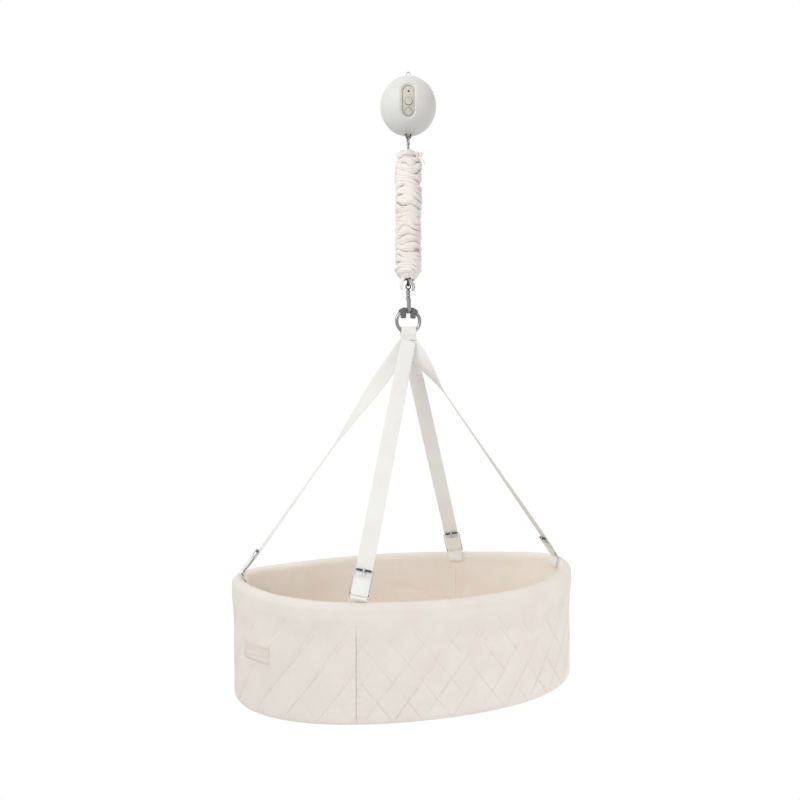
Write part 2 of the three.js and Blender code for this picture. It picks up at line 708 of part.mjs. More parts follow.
// A hook whose bow's middle is at centre; up is +1 for a bow upwards and -1 for a bow downwards.
function snapHook(name, size, centreZ, up) {
  const { inner, bar: thick, thickness, reach, fork, neck, neckTop, neckEnd } = size;
  const z = zAxis.clone().multiplyScalar(up);
  const y = yAxis.clone().multiplyScalar(up);
  const centre = vector(0, 0, centreZ);
  const at = (across, height) => along(centre, [y, across], [z, height]);
  const body = plate(hookOutline(size), thickness, centre, y, z, gap);
  const neckStart = -reach - fork / 2;
  const neckBottom = -reach - fork - neck;
  const cone = bar(at(0, neckBottom), at(0, neckStart), neckEnd, neckTop);
  const bore = bar(at(0, neckBottom - overrun), at(0, neckBottom + stemEntry + gap), stemRadius + gap);
  const pivotY = -inner - thick / 2;
  const pivotZ = -reach - pivotDrop;
  const halfSlot = gateThickness / 2 + gap;
  const slotStart = at(-inner - thick - overrun, pivotZ - thick / 2 - gap);
  const slotEnd = at(gap - inner + thick / 2, overrun - reach);
  const slot = corners(slotStart, slotEnd, halfSlot);
  const pinReach = thickness / 2;
  const pivot = at(pivotY, pivotZ);
  const pinHole = crossRod(pivot, pinReach + overrun, gatePinRadius + gap);
  add(cradle, name, cut(join(body, cone), bore, slot, pinHole), materials.chrome);
  add(cradle, name + "_pin", crossRod(pivot, pinReach, gatePinRadius), materials.steel);
  hookGate(name, size, centre, y, z, pivotY, pivotZ);
  return pivot;
}

// A box between two points of a hook's plane, as thick as asked across the hook.
function corners(first, second, half) {
  const low = first.clone().min(second);
  const high = first.clone().max(second);
  return block(vector(-half, low.y, low.z), vector(half, high.y, high.z));
}

const crossRod = (middle, half, radius) =>
  bar(along(middle, [xAxis, -half]), along(middle, [xAxis, half]), radius, radius, finePinSides);

function hookGate(name, { inner, bar: thick, nose }, centre, y, z, pivotY, pivotZ) {
  const half = thick / 2;
  const leaf = new THREE.Shape();
  leaf.absarc(pivotY, pivotZ, half, Math.PI, 2 * Math.PI);
  leaf.lineTo(pivotY + half, -nose - gap - half / 2);
  leaf.lineTo(pivotY + half / 2, -nose - gap);
  leaf.lineTo(pivotY - half, -nose - gap);
  const body = plate(leaf, gateThickness, centre, y, z);
  const pivot = along(centre, [y, pivotY], [z, pivotZ]);
  const hole = crossRod(pivot, gateThickness + overrun, gatePinRadius + gap);
  add(cradle, name.replace("hook", "gate"), cut(body, hole), materials.chrome);
}

function hooks() {
  const upperPivot = snapHook("upper_hook", upperHookSize, upperBow, 1);
  joint("hanger_sway", "hinge", vector(0, 0, liftSeat + liftInner), yAxis, [-swayRange, swayRange]);
  joint("upper_gate_open", "hinge", upperPivot, xAxis.clone().negate(), [0, gateRange]);
  const lowerPivot = snapHook("lower_hook", lowerHookSize, lowerBow, -1);
  joint("lower_gate_open", "hinge", lowerPivot, xAxis.clone().negate(), [0, gateRange]);
}

// The swivel above the spring, and the eye screwed into the lower hook's neck below it

function swivelAndEye() {
  const upperRing = vector(0, 0, upperRingZ);
  const eye = (centre) => solid(wireRing(centre, swivelRingRadius, swivelWire, yAxis, xAxis, 16, 6));
  const upperStem = bar(vector(0, 0, swivelBallZ), vector(0, 0, upperNeckEnd + stemEntry), stemRadius);
  const knob = ball(vector(0, 0, swivelBallZ), swivelBall, 10, 6);
  add(cradle, "upper_swivel", join(eye(upperRing), knob, upperStem), materials.chrome);
  joint("upper_swivel_turn", "hinge", vector(0, 0, swivelBallZ), zAxis, "continuous");
  const lowerRing = vector(0, 0, lowerRingZ);
  const stemTop = lowerRingZ - swivelRingRadius;
  const lowerStem = bar(vector(0, 0, lowerNeckEnd - stemEntry), vector(0, 0, stemTop), stemRadius);
  const collarFoot = vector(0, 0, stemTop - swivelWire);
  const collar = bar(collarFoot, vector(0, 0, stemTop), stemRadius + swivelWire / 3, stemRadius);
  add(cradle, "lower_eye", join(eye(lowerRing), collar, lowerStem), materials.chrome);
}

// Coil spring: an open loop at each end, a run that winds out from it, and the full coil between.

function springPoints() {
  const topLoop = vector(0, 0, springTop - springLoopRadius);
  const bottomLoop = vector(0, 0, springBottom + springLoopRadius);
  const coilTop = topLoop.z - springLoopRadius - springLead;
  const coilBottom = bottomLoop.z + springLoopRadius + springLead;
  const bite = degrees(20);
  const first = arc(topLoop, springLoopRadius, -bite, 1.5 * Math.PI, 12, yAxis, zAxis);
  const leadSteps = 8;
  const leadTurn = 1.5 * Math.PI;
  const lead = (share) => {
    const angle = Math.PI / 2 + leadTurn * share ** 1.5;
    return [springRadius * share, angle];
  };
  const out = Array.from({ length: leadSteps }, (_, i) => {
    const share = (i + 1) / leadSteps;
    const [radius, angle] = lead(share);
    const z = topLoop.z - springLoopRadius - springLead * share ** 1.3;
    return vector(radius * Math.cos(angle), radius * Math.sin(angle), z);
  });
  const steps = springCurls * stepsPerCurl;
  const start = Math.PI / 2 + leadTurn;
  const coil = Array.from({ length: steps - 1 }, (_, i) => {
    const share = (i + 1) / steps;
    const angle = start + 2 * Math.PI * springCurls * share;
    const z = coilTop + (coilBottom - coilTop) * share;
    return vector(springRadius * Math.cos(angle), springRadius * Math.sin(angle), z);
  });
  // The lower end is the upper end turned over about the X axis through the coil's middle.
  const middle = (coilTop + coilBottom) / 2;
  const over = (point) => vector(point.x, -point.y, 2 * middle - point.z);
  const turnOver = start + 2 * Math.PI * springCurls + start;
  const spin = (point) => over(point).applyAxisAngle(zAxis, turnOver);
  const ends = [...first, ...out].map(spin).reverse();
  return [...first, ...out, ...coil, ...ends];
}

// The least distance between the wire and itself, away from its own neighbouring steps.
function leastGap(points, wire, skip) {
  let least = Infinity;
  points.forEach((a, i) =>
    points.slice(i + skip).forEach((b) => {
      least = Math.min(least, a.distanceTo(b));
    }),
  );
  return least - wire;
}

function spring() {
  const points = springPoints();
  console.log("spring: least gap between turns", leastGap(points, springWire, 6).toFixed(2), "mm");
  add(cradle, "coil_spring", tube(points, round(springWire / 2, springSides)), materials.steel);
  joint("bounce", "slide", vector(0, 0, springTop), zAxis.clone().negate(), [-bounceUp, bounceDown]);
}

// Gathered sleeve

function sleeve() {
  const top = upperRingZ + sleeveTopRise;
  const bottom = lowerRingZ + sleeveBottomRise;
  const length = top - bottom;
  const profileShares = [[0, 0.66], [0.04, 0.86], [0.1, 0.98], [0.5, 1], [0.93, 1], [0.965, 0.86], [1, 0.6]];
  const radiusAt = (share) => {
    const k = profileShares.findIndex(([s]) => s >= share);
    if (k < 1) return sleeveRadius * profileShares[0][1];
    const [[s0, r0], [s1, r1]] = [profileShares[k - 1], profileShares[k]];
    return sleeveRadius * (r0 + ((r1 - r0) * (share - s0)) / (s1 - s0));
  };
  // Gathers run round the sleeve, tilt and run out, as cloth does that is pushed together on an elastic.
  const ruffle = (share, angle) => {
    const turn = 2 * Math.PI * share * sleeveGathers;
    const wave = Math.sin(turn + 1.1 * Math.sin(angle + 0.7)) + 0.45 * Math.sin(0.53 * turn - 2 * angle);
    return sleeveRuffle * wave * Math.min(1, 12 * share, 12 * (1 - share));
  };
  const ringAt = (share, radiusOf) =>
    Array.from({ length: sleeveSides }, (_, j) => {
      const angle = (2 * Math.PI * j) / sleeveSides;
      const radius = radiusOf(angle);
      return vector(radius * Math.cos(angle), radius * Math.sin(angle), top - length * share);
    });
  const outer = Array.from({ length: sleeveRows + 1 }, (_, i) => {
    const share = i / sleeveRows;
    return ringAt(share, (angle) => radiusAt(share) + ruffle(share, angle));
  });
  const boreShares = [[1, 0.5], [0.97, 0.7], [0.935, 1], [0.14, 1], [0.09, 0.72], [0, 0.55]];
  const inner = boreShares.map(([share, width]) => ringAt(share, () => sleeveBore * width));
  add(cradle, "spring_sleeve", loft([...outer, ...inner], true), materials.sleeve);
}

// A flat ribbon sewn to the sleeve's lower edge.
function hangingRibbon(name, placeShares, lean, width, length, material) {
  const [x, y] = placeShares.map((share) => share * sleeveRadius);
  const top = vector(x, y, lowerRingZ + sleeveBottomRise - gap);
  const low = along(top, [xAxis, lean], [zAxis, -length]);
  const middle = along(top.clone().lerp(low, 0.5), [yAxis, ribbon]);
  const stations = [top, middle, low].map((point) => [point, xAxis]);
  add(cradle, name, webbing(stations, width, ribbon), material);
}

const rectangle = (width, thickness) => {
  const cornerShares = [[-0.5, -0.5], [0.5, -0.5], [0.5, 0.5], [-0.5, 0.5]];
  return cornerShares.map(([a, b]) => [a * width, b * thickness]);
};

// Ring with its two stops

function ringAndStops() {
  const centre = vector(0, 0, ringZ);
  const wire = wireRing(centre, ringRadius, ringWire, yAxis, xAxis, ringSteps);
  add(cradle, "carrier_ring", wire, materials.chrome);
  joint("basket_swing", "hinge", vector(0, 0, ringTop), xAxis, [-swingRange, swingRange]);
  const clearRing = solid(wireRing(centre, ringRadius, ringWire + 2 * gap, yAxis, xAxis, ringSteps));
  for (const [name, side] of [["ring_stop_left", -1], ["ring_stop_right", 1]]) {
    const from = Math.PI / 2 - side * stopStart;
    const to = Math.PI / 2 - side * stopEnd;
    const path = arc(centre, ringRadius, from, to, 5, xAxis, zAxis);
    const sleevePart = solid(bentBar(path, yAxis, round(ringWire / 2 + gap + stopWall, 10)));
    const nearX = side * stopTabInset;
    const farX = side * (stopTabInset + stopTabWidth);
    const low = vector(Math.min(nearX, farX), -stopTabDepth / 2, ringTop - ringWire / 2 - stopTabDrop);
    const high = vector(Math.max(nearX, farX), stopTabDepth / 2, ringTop - ringWire / 2);
    add(cradle, name, cut(join(sleevePart, block(low, high)), clearRing), materials.rubber);
  }
}

// Webbing crown, sewn round the ring's lowest stretch
function strapCrown() {
  const half = ringWire / 2 + gap + crownWall;
  const top = ringBottom + ringWire / 2 + crownRise;
  const shape = new THREE.Shape();
  shape.moveTo(-half, ringBottom);
  shape.quadraticCurveTo(-half, top, 0, top);
  shape.quadraticCurveTo(half, top, half, ringBottom);
  shape.lineTo(crownStack / 2, crownBottom);
  shape.lineTo(-crownStack / 2, crownBottom);
  const body = plate(shape, webWidth, vector(0, 0, 0), yAxis, zAxis);
  const middle = vector(0, 0, ringZ);
  const tunnel = solid(wireRing(middle, ringRadius, ringWire + 2 * gap, yAxis, xAxis, ringSteps));
  add(cradle, "strap_crown", cut(body, tunnel), materials.webbing);
}

// Basket outline, its rim and the points where the straps meet it

const ovalPoint = (angle, inset) =>
  vector((basketHalfLength - inset) * Math.cos(angle), (basketHalfWidth - inset) * Math.sin(angle), 0);

// Height of a point that lies depth below the rim; the rim's ends stand higher than its sides.
const heightAt = (angle, depth) =>
  rimZ - depth + rimRise * Math.cos(angle) ** 4 * Math.max(0, 1 - depth / basketHeight);

const leanAt = (depth) => (basketTaper * depth) / basketHeight;

const tangentLength = (angle) =>
  Math.hypot(basketHalfLength * Math.sin(angle), basketHalfWidth * Math.cos(angle));

// A point by inset from the basket's outside and depth below its rim; a depth under zero is above it.
const wallPoint = (angle, inset, depth) => {
  const z = heightAt(angle, Math.max(depth, 0)) - Math.min(depth, 0);
  return ovalPoint(angle, inset).setZ(z);
};

// Where one strap meets the rim. Its face is 1 with the buckle outside and -1 with it inside.
function strapEnd(angle, layer, face) {
  const [dx, dy] = [-basketHalfLength * Math.sin(angle), basketHalfWidth * Math.cos(angle)];
  const tangent = vector(dx, dy, 0).normalize();
  const outward = tangent.clone().cross(zAxis);
  const top = vector(0, layer * (webThickness + 2 * gap), crownBottom - gap);
  const hang = wallPoint(angle, hangInset, -hangHeight);
  const up = top.clone().sub(hang).normalize();
  const wide = along(tangent, [up, -tangent.dot(up)]).normalize().multiplyScalar(face);
  const facing = wide.clone().cross(up);
  const low = along(hang, [facing, faceShift]);
  return { angle, top, up, wide, facing, low, tangent, outward };
}

// A flat ribbon through points, each with the direction of its width.
function webbing(stations, width, thickness) {
  const rings = stations.map(([centre, wide, heading], i) => {
    const before = stations[Math.max(i - 1, 0)][0];
    const after = stations[Math.min(i + 1, stations.length - 1)][0];
    const normal = wide.clone().cross(heading ?? after.clone().sub(before)).normalize().negate();
    return section(centre, wide, normal, rectangle(width, thickness));
  });
  // Both faces get the same diagonal, so that a turned ribbon keeps its thickness.
  return loft(rings, false, (_, j) => j === 2);
}

// Straps: sewn under the crown, turned towards the rim, then folded round the buckle's middle bar.
function strap(name, { top, low, up, wide, facing }) {
  const wrap = buckleWire / 2 + gap + webThickness / 2;
  const behind = rollerRadius + 2 * gap + prongWall + webThickness / 2;
  const at = (height, outward) => along(low, [up, height], [facing, outward]);
  const knee = at(buckleHeight + 3 * rollerRadius, -behind);
  const line = top.clone().sub(knee).normalize();
  const square = (v) => along(v, [line, -v.dot(line)]).normalize();
  const [first, last] = [square(yAxis.clone().negate()), square(facing)];
  const turn = Math.atan2(first.clone().cross(last).dot(line), first.dot(last));
  const steps = 12;
  const upper = Array.from({ length: steps }, (_, i) => {
    const share = (i + 1) / steps;
    const turned = turn * THREE.MathUtils.smoothstep(share, ...twistShares);
    const face = first.clone().applyAxisAngle(line, turned);
    return [top.clone().lerp(knee, share), line.clone().cross(face)];
  });
  const fold = arc(at(middleBarRise, 0), wrap, Math.PI, 2 * Math.PI, 4, facing, up);
  const down = zAxis.clone().negate();
  const stations = [
    [top, xAxis, down],
    ...upper,
    [at(buckleHeight, -behind), wide],
    ...fold.map((point) => [point, wide]),
    [at(foldLength, gap), wide],
  ];
  add(cradle, "strap_" + name, webbing(stations, webWidth, webThickness), materials.webbing);
}

// Tall wire buckle: a roller on the upper bar, a bar for the strap's fold and one for the rim tab
function buckle(name, { low, up, wide, facing }) {
  const half = webWidth / 2 + buckleCorner;
  const cornerShares = [[1, 0, -0.5], [1, 1, 0], [-1, 1, 0.5], [-1, 0, 1]]; // side, end, start of its turn
  const path = cornerShares.flatMap(([side, end, start]) => {
    const height = buckleCorner + end * (buckleHeight - 2 * buckleCorner);
    const centre = along(low, [wide, side * (half - buckleCorner)], [up, height]);
    return arc(centre, buckleCorner, start * Math.PI, (start + 0.5) * Math.PI, 2, wide, up);
  });
  const frame = solid(bentBar(path, facing, round(buckleWire / 2, 6), true));
  const at = (across, height) => along(low, [wide, across], [up, height]);
  const middle = bar(at(-half, middleBarRise), at(half, middleBarRise), buckleWire / 2, buckleWire / 2, 6);
  const [left, right] = [-rollerLength / 2, rollerLength / 2].map((x) => at(x, buckleHeight));
  const roller = bar(left, right, rollerRadius, rollerRadius, smallSides);
  add(cradle, "buckle_" + name, join(frame, middle, roller), materials.chrome);
}

// Small locking prong that clips round the roller
function prong(name, { low, up, wide, facing }) {
  const middle = along(low, [up, buckleHeight]);
  const outer = rollerRadius + gap + prongWall;
  const from = along(middle, [wide, -prongWidth / 2]);
  const to = along(middle, [wide, prongWidth / 2]);
  const tip = along(middle, [up, -outer - prongLength], [facing, rollerRadius - gap]);
  const root = along(middle, [facing, rollerRadius + gap + prongWall / 2]);
  const tooth = bar(tip, root, prongPoint / 2, prongPoint, 6);
  const clip = bar(from, to, outer, outer, smallSides);
  const [start, end] = [along(from, [wide, -overrun]), along(to, [wide, overrun])];
  const bore = bar(start, end, rollerRadius + gap, rollerRadius + gap, smallSides);
  add(cradle, "prong_" + name, cut(join(clip, tooth), bore), materials.steel);
  joint("prong_" + name + "_lift", "hinge", middle, wide.clone().negate(), [0, prongRange]);
}

// Webbing tab: two layers sewn on the roll's inner side, looped round the buckle's lower bar
function rimTab(name, { angle, low, up, wide, facing, tangent, outward }) {
  const speed = tangentLength(angle);
  const bend = speed ** 3 / (basketHalfLength * basketHalfWidth) - 2 * rollRadius;
  const facet = (speed * 2 * Math.PI) / ovalSides;
  const sagitta = (webWidth ** 2 + facet ** 2) / (8 * bend);
  const layerGap = (webThickness + gap) / 2;
  const radius = rollRadius + 4 * gap + webThickness + gap / 2;
  const rollTop = wallPoint(angle, rollRadius, 0);
  const onRoll = (turn) =>
    along(
      rollTop,
      [outward, -sagitta - radius * Math.sin(turn)],
      [zAxis, radius * Math.cos(turn) - rollRadius],
    );
  const fromRoll = low.clone().sub(along(rollTop, [zAxis, -rollRadius]));
  const barTurn = Math.atan2(-fromRoll.dot(outward), fromRoll.z);
  const turnShares = [0.3, 0.55, 0.8, 1];
  const turns = turnShares.map((share) => onRoll(barTurn + share * (tabEnd - barTurn)));
  const level = tangent.dot(wide) > 0 ? tangent : tangent.clone().negate();
  const route = [low, ...turns];
  const widths = [wide, wide.clone().lerp(level, 0.8).normalize(), level, level, level];
  const wrap = buckleWire / 2 + gap + webThickness / 2;
  const layer = (side) => route.map((point, i) => {
    const [before, after] = [route[Math.max(i - 1, 0)], route[Math.min(i + 1, route.length - 1)]];
    const heading = after.clone().sub(before).normalize();
    const normal = heading.cross(widths[i]).normalize();
    if (normal.dot(outward) > 0) normal.negate();
    return { centre: along(point, [normal, side * (i ? layerGap : wrap)]), normal, wide: widths[i] };
  });
  const [inner, outer] = [layer(1), layer(-1)];
  const side = inner[0].normal;
  const back = low.clone().sub(turns[0]);
  const away = along(back, [side, -back.dot(side)], [wide, -back.dot(wide)]).normalize();
  const loop = arc(low, wrap, 0, Math.PI, 4, side, away).slice(1, -1);
  const stations = [
    ...inner.slice().reverse().map(({ centre, wide: across }) => [centre, across]),
    ...loop.map((point) => [point, wide]),
    ...outer.map(({ centre, wide: across }) => [centre, across]),
  ];
  add(cradle, "rim_tab_" + name, webbing(stations, webWidth, webThickness), materials.webbing);
}

// The crown holds all four straps with the same side to the front, so the buckles of the right and
// the back strap face into the basket.
function harness() {
  const ends = {
    front: strapEnd(frontStrapAngle, -1.5, 1),
    left: strapEnd(Math.PI, -0.5, 1),
    right: strapEnd(0, 0.5, -1),
    back: strapEnd(backStrapAngle, 1.5, -1),
  };
  for (const [name, end] of Object.entries(ends)) {
    strap(name, end);
    buckle(name, end);
    prong(name, end);
    rimTab(name, end);
  }
}

// Basket pieces: a profile of insets and depths, carried round the oval

function ovalRing(inset, depth, angleInset = () => 0) {
  return Array.from({ length: ovalSides }, (_, j) => {
    const angle = (2 * Math.PI * j) / ovalSides;
    const point = ovalPoint(angle, inset + leanAt(depth) + angleInset(j, angle));
    return point.setZ(heightAt(angle, depth));
  });
}

const floorPoint = (depth) => [vector(0, 0, rimZ - depth)];

// Points of the rim roll, on a radius round the hoop's place
const rollArc = (radius, shares) =>
  shares.map((share) => {
    const turn = Math.PI * share;
    return [rollRadius - radius * Math.cos(turn), rollRadius - radius * Math.sin(turn)];
  });

const channelRadius = rollRadius - wallThickness; // of the hoop's channel in the roll
const channelDepth = rollRadius + channelRadius + 2 * gap;
const wallFace = wallInset + wallThickness; // inset of the wall's inner face

// How far round the wall a column lies from the label's middle
const fromLabel = (angle) => Math.abs(angle - labelAngle) * tangentLength(labelAngle);

function basketWall() {
  const seam = basketHeight - bottomRadius;
  const rowHeight = (seam - quiltTop) / quiltRows;
  const rows = Array.from({ length: quiltRows + 1 }, (_, i) => seam - i * rowHeight);
  const puff = (i) => (j, angle) => {
    if (i === 0 || i === quiltRows) return 0;
    return (i + j) % 2 || fromLabel(angle) < labelWidth * 0.8 ? -quiltPuff : 0;
  };
  const cornerShares = [[0.9, 0], [0.22, 0.3]];
  const bottom = cornerShares.map(([inset, rise]) =>
    ovalRing(wallInset + bottomRadius * inset, basketHeight - bottomRadius * rise));
  const start = 1 + bottom.length;
  const quilt = rows.map((depth, i) => ovalRing(wallInset, depth, puff(i)));
  const outside = [floorPoint(basketHeight), ...bottom, ...quilt];
  const rollShares = [-0.3, 0, 0.25, 0.5, 0.75, 1];
  const channelShares = [1, 0.75, 0.5, 0.25, 0, -0.25];
  const toRings = (profile) => profile.map(([inset, depth]) => ovalRing(inset, depth));
  const roll = toRings(rollArc(rollRadius, rollShares));
  const lipInset = 2 * rollRadius;
  const lip = toRings([[lipInset, lipDepth], [lipInset - wallThickness, lipDepth]]);
  const inner = toRings([...rollArc(channelRadius, channelShares), [wallFace, channelDepth]]);
  const inside = basketHeight - floorThickness;
  const footShares = [[1, 1], [1.7, 0.33], [3.5, 0]]; // of the wall's thickness and the bottom's radius
  const foot = footShares.map(([inset, rise]) =>
    ovalRing(wallInset + wallThickness * inset, inside - bottomRadius * rise));
  const rings = [...outside, ...roll, ...lip, ...inner, ...foot, floorPoint(inside)];
  const crossed = (i, j) => (i >= start && i < start + quiltRows ? (i - start + j) % 2 === 1 : false);
  add(cradle, "basket_wall", loft(rings, false, crossed), materials.quilt);
}

function rimHoop() {
  const offsets = round(hoopRadius, 6);
  const rings = offsets.map(([inset, depth]) => ovalRing(rollRadius + inset, rollRadius + depth));
  add(cradle, "rim_hoop", loft(rings, true), materials.shell);
}

const boardTop = basketHeight - floorThickness - gap - boardThickness;
const liningTop = boardTop - gap - liningFloor;

function baseBoard() {
  const rings = [floorPoint(boardTop + boardThickness), ovalRing(boardInset, boardTop + boardThickness),
    ovalRing(boardInset, boardTop), floorPoint(boardTop)];
  add(cradle, "base_board", loft(rings), materials.wood);
}

function basketLining() {
  const outer = wallFace + gap + gap / 2;
  const under = boardTop - gap;
  const innerLip = 2 * rollRadius;
  const tuck = channelDepth + 3 * gap;
  const profile = [
    [boardInset - wallThickness, under], [outer * 1.4, under - bottomRadius],
    [outer, under - 2 * bottomRadius], [outer, tuck], [innerLip - wallThickness - gap, tuck],
    [innerLip - wallThickness - gap, lipDepth + gap], [innerLip, lipDepth + gap],
    [innerLip, liningTop - bottomRadius], [boardInset, liningTop - floorThickness],
    [boardInset * 1.4, liningTop],
  ];
  const rings = profile.map(([inset, depth]) => ovalRing(inset, depth));
  add(cradle, "basket_lining", loft([floorPoint(under), ...rings, floorPoint(liningTop)]), materials.lining);
}

function mattress() {
  const bottom = liningTop - gap;
  const profileShares = [[0.56, 0], [0.1, 0.16], [0, 0.45], [0.08, 0.74], [0.31, 0.9], [1.25, 1]];
  const rings = profileShares.map(([inset, rise]) =>
    ovalRing(mattressInset + mattressThickness * inset, bottom - mattressThickness * rise));
  const crown = floorPoint(bottom - mattressThickness - mattressCrown);
  add(cradle, "mattress", loft([floorPoint(bottom), ...rings, crown]), materials.lining);
  joint("mattress_lift", "slide", vector(0, 0, rimZ - bottom), zAxis, [0, mattressLift]);
}

// Bare woven label, sewn flat on the wall near one end
function labelPatch() {
  const steps = 4;
  const speed = tangentLength(labelAngle);
  const rings = Array.from({ length: steps + 1 }, (_, i) => {
    const angle = labelAngle + ((i / steps - 0.5) * labelWidth) / speed;
    const at = (rise, drop) => wallPoint(angle, wallInset + leanAt(drop) - rise, drop);
    const [high, low] = [labelDrop - labelHeight / 2, labelDrop + labelHeight / 2];
    const inner = quiltPuff + gap;
    const outer = inner + labelThickness;
    return [at(inner, high), at(outer, high), at(outer, low), at(inner, low)];
  });
  add(cradle, "label_patch", loft(rings), materials.webbing);
}

ceilingEye();
eyeNut();
shells();
shellScrews();
controlPanel();
buttonsAndLens();
loadFrame();
winchSpool();
gearedMotor();
battery();
circuitBoard();
guideBush();
liftEye();
hooks();
swivelAndEye();
spring();
sleeve();
hangingRibbon("sleeve_tie", tiePlaceShares, tieLean, tieWidth, tieLength, materials.sleeve);
hangingRibbon("sleeve_tab", tabPlaceShares, tabLean, tabWidth, tabLength, materials.rubber);
ringAndStops();
strapCrown();
harness();
basketWall();
rimHoop();
baseBoard();
basketLining();
mattress();
labelPatch();

cradle.userData.joints = joints;

export default cradle;
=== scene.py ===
import math
import random

import bmesh
import bpy
import numpy as np
from mathutils import Matrix, Vector, noise


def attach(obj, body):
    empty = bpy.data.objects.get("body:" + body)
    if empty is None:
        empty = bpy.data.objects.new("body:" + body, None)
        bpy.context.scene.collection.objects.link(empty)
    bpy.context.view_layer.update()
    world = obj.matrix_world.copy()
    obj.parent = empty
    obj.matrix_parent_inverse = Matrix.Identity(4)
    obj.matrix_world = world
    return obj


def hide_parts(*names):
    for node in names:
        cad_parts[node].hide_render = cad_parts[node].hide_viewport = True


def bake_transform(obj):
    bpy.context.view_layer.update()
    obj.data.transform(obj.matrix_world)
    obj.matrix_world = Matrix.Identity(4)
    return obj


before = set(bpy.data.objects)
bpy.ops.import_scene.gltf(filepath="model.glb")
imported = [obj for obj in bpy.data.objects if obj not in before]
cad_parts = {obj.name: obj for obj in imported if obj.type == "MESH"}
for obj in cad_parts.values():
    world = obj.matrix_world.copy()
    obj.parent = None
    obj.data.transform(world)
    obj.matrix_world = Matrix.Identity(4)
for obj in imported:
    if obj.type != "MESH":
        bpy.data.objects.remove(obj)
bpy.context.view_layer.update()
mm = 0.001
fullTurn = 2 * math.pi
axisX, axisY, axisZ = Vector((1, 0, 0)), Vector((0, 1, 0)), Vector((0, 0, 1))
clearance = 0.3 * mm
scene = bpy.context.scene
print("frame loaded")

view = {"lens": 29.25, "sensor": 36, "place": (-0.351, -1.459, -0.755), "yaw": -12.8}
cameraData = bpy.data.cameras.new("camera")
cameraData.lens, cameraData.sensor_width = view["lens"], view["sensor"]
camera = bpy.data.objects.new("camera", cameraData)
camera.location = view["place"]
camera.rotation_euler = (math.radians(90), 0, math.radians(view["yaw"]))
scene.collection.objects.link(camera)
scene.camera = camera
scene.view_settings.view_transform = "Standard"

lamps = {
    "key": {"place": (-1.7, -1.5, 0.7), "power": 27.5, "colour": (0.955, 0.985, 1)},
    "fill": {"place": (1.9, -1.5, -1.5), "power": 2.3, "target": (0, 0, -1.35), "spread": 66},
    "back": {"place": (0.5, 1.7, 0.6), "power": 9},
}
room = {
    "ambient": 0.62, "floorZ": -2.3, "floorRadius": 1.8, "floorTone": 0.9, "fadeFrom": 0.08, "fadeTo": 0.5,
}


def addLamp(name, place, power, size=1.4, target=(0, 0, -0.9), spread=180, colour=(1, 1, 1)):
    data = bpy.data.lights.new(name, "AREA")
    data.shape, data.size, data.energy = "DISK", size, power
    data.spread, data.color = math.radians(spread), colour
    lamp = bpy.data.objects.new(name, data)
    lamp.location = place
    lamp.rotation_euler = (Vector(target) - Vector(place)).to_track_quat("-Z", "Y").to_euler()
    scene.collection.objects.link(lamp)


for lampName, lampSize in lamps.items():
    addLamp(lampName, **lampSize)


# Angles of points spaced evenly round a circle
def circle(count):
    return [fullTurn * k / count for k in range(count)]


def opaque(colour, share=1):
    return tuple(c * share for c in colour) + (1,)


def newMaterial(name):
    material = bpy.data.materials.new(name)
    material.use_nodes = True
    tree = material.node_tree
    return material, tree, tree.nodes["Principled BSDF"]


def plug(tree, node, links):
    for socket, source in links.items():
        if isinstance(source, bpy.types.NodeSocket):
            tree.links.new(source, node.inputs[socket])
        else:
            node.inputs[socket].default_value = source


def addNode(tree, kind, links=None, **values):
    node = tree.nodes.new(kind)
    for key, value in values.items():
        setattr(node, key, value)
    plug(tree, node, links or {})
    return node


def maths(tree, operation, a, b=0.0, c=0.0):
    return addNode(tree, "ShaderNodeMath", {0: a, 1: b, 2: c}, operation=operation).outputs[0]


def vectorMaths(tree, operation, a, b=(0, 0, 0), output="Vector"):
    return addNode(tree, "ShaderNodeVectorMath", {0: a, 1: b}, operation=operation).outputs[output]


def ramp(tree, source, low, high, start=0.0, end=1.0):
    node = addNode(tree, "ShaderNodeMapRange", {0: source, 1: low, 2: high, 3: start, 4: end})
    node.interpolation_type = "SMOOTHSTEP"
    return node.outputs[0]


def blendColour(tree, factor, first, second):
    return addNode(tree, "ShaderNodeMix", {0: factor, 6: first, 7: second}, data_type="RGBA").outputs[2]


def cloud(tree, place, scale, detail, distortion=0.0):
    links = {"Vector": place, "Scale": scale, "Detail": detail, "Distortion": distortion}
    return addNode(tree, "ShaderNodeTexNoise", links).outputs[0]


def relief(tree, height, strength, distance, under=None, invert=False):
    links = {"Height": height, "Strength": strength, "Distance": distance}
    if under:
        links["Normal"] = under
    return addNode(tree, "ShaderNodeBump", links, invert=invert).outputs[0]


# 1 where the camera looks at a thing itself, in a mirror or through glass, 0 where it only lights others
def backdropNodes(tree):
    path = addNode(tree, "ShaderNodeLightPath")
    seen = maths(tree, "MAXIMUM", path.outputs["Is Camera Ray"], path.outputs["Is Glossy Ray"])
    return maths(tree, "MAXIMUM", seen, path.outputs["Is Transmission Ray"])


def setWorld():
    world = bpy.data.worlds.new("studio")
    world.use_nodes = True
    tree = world.node_tree
    strength = ramp(tree, backdropNodes(tree), 0, 1, room["ambient"], 1)
    plug(tree, tree.nodes["Background"], {"Strength": strength, "Color": (1, 1, 1, 1)})
    scene.world = world


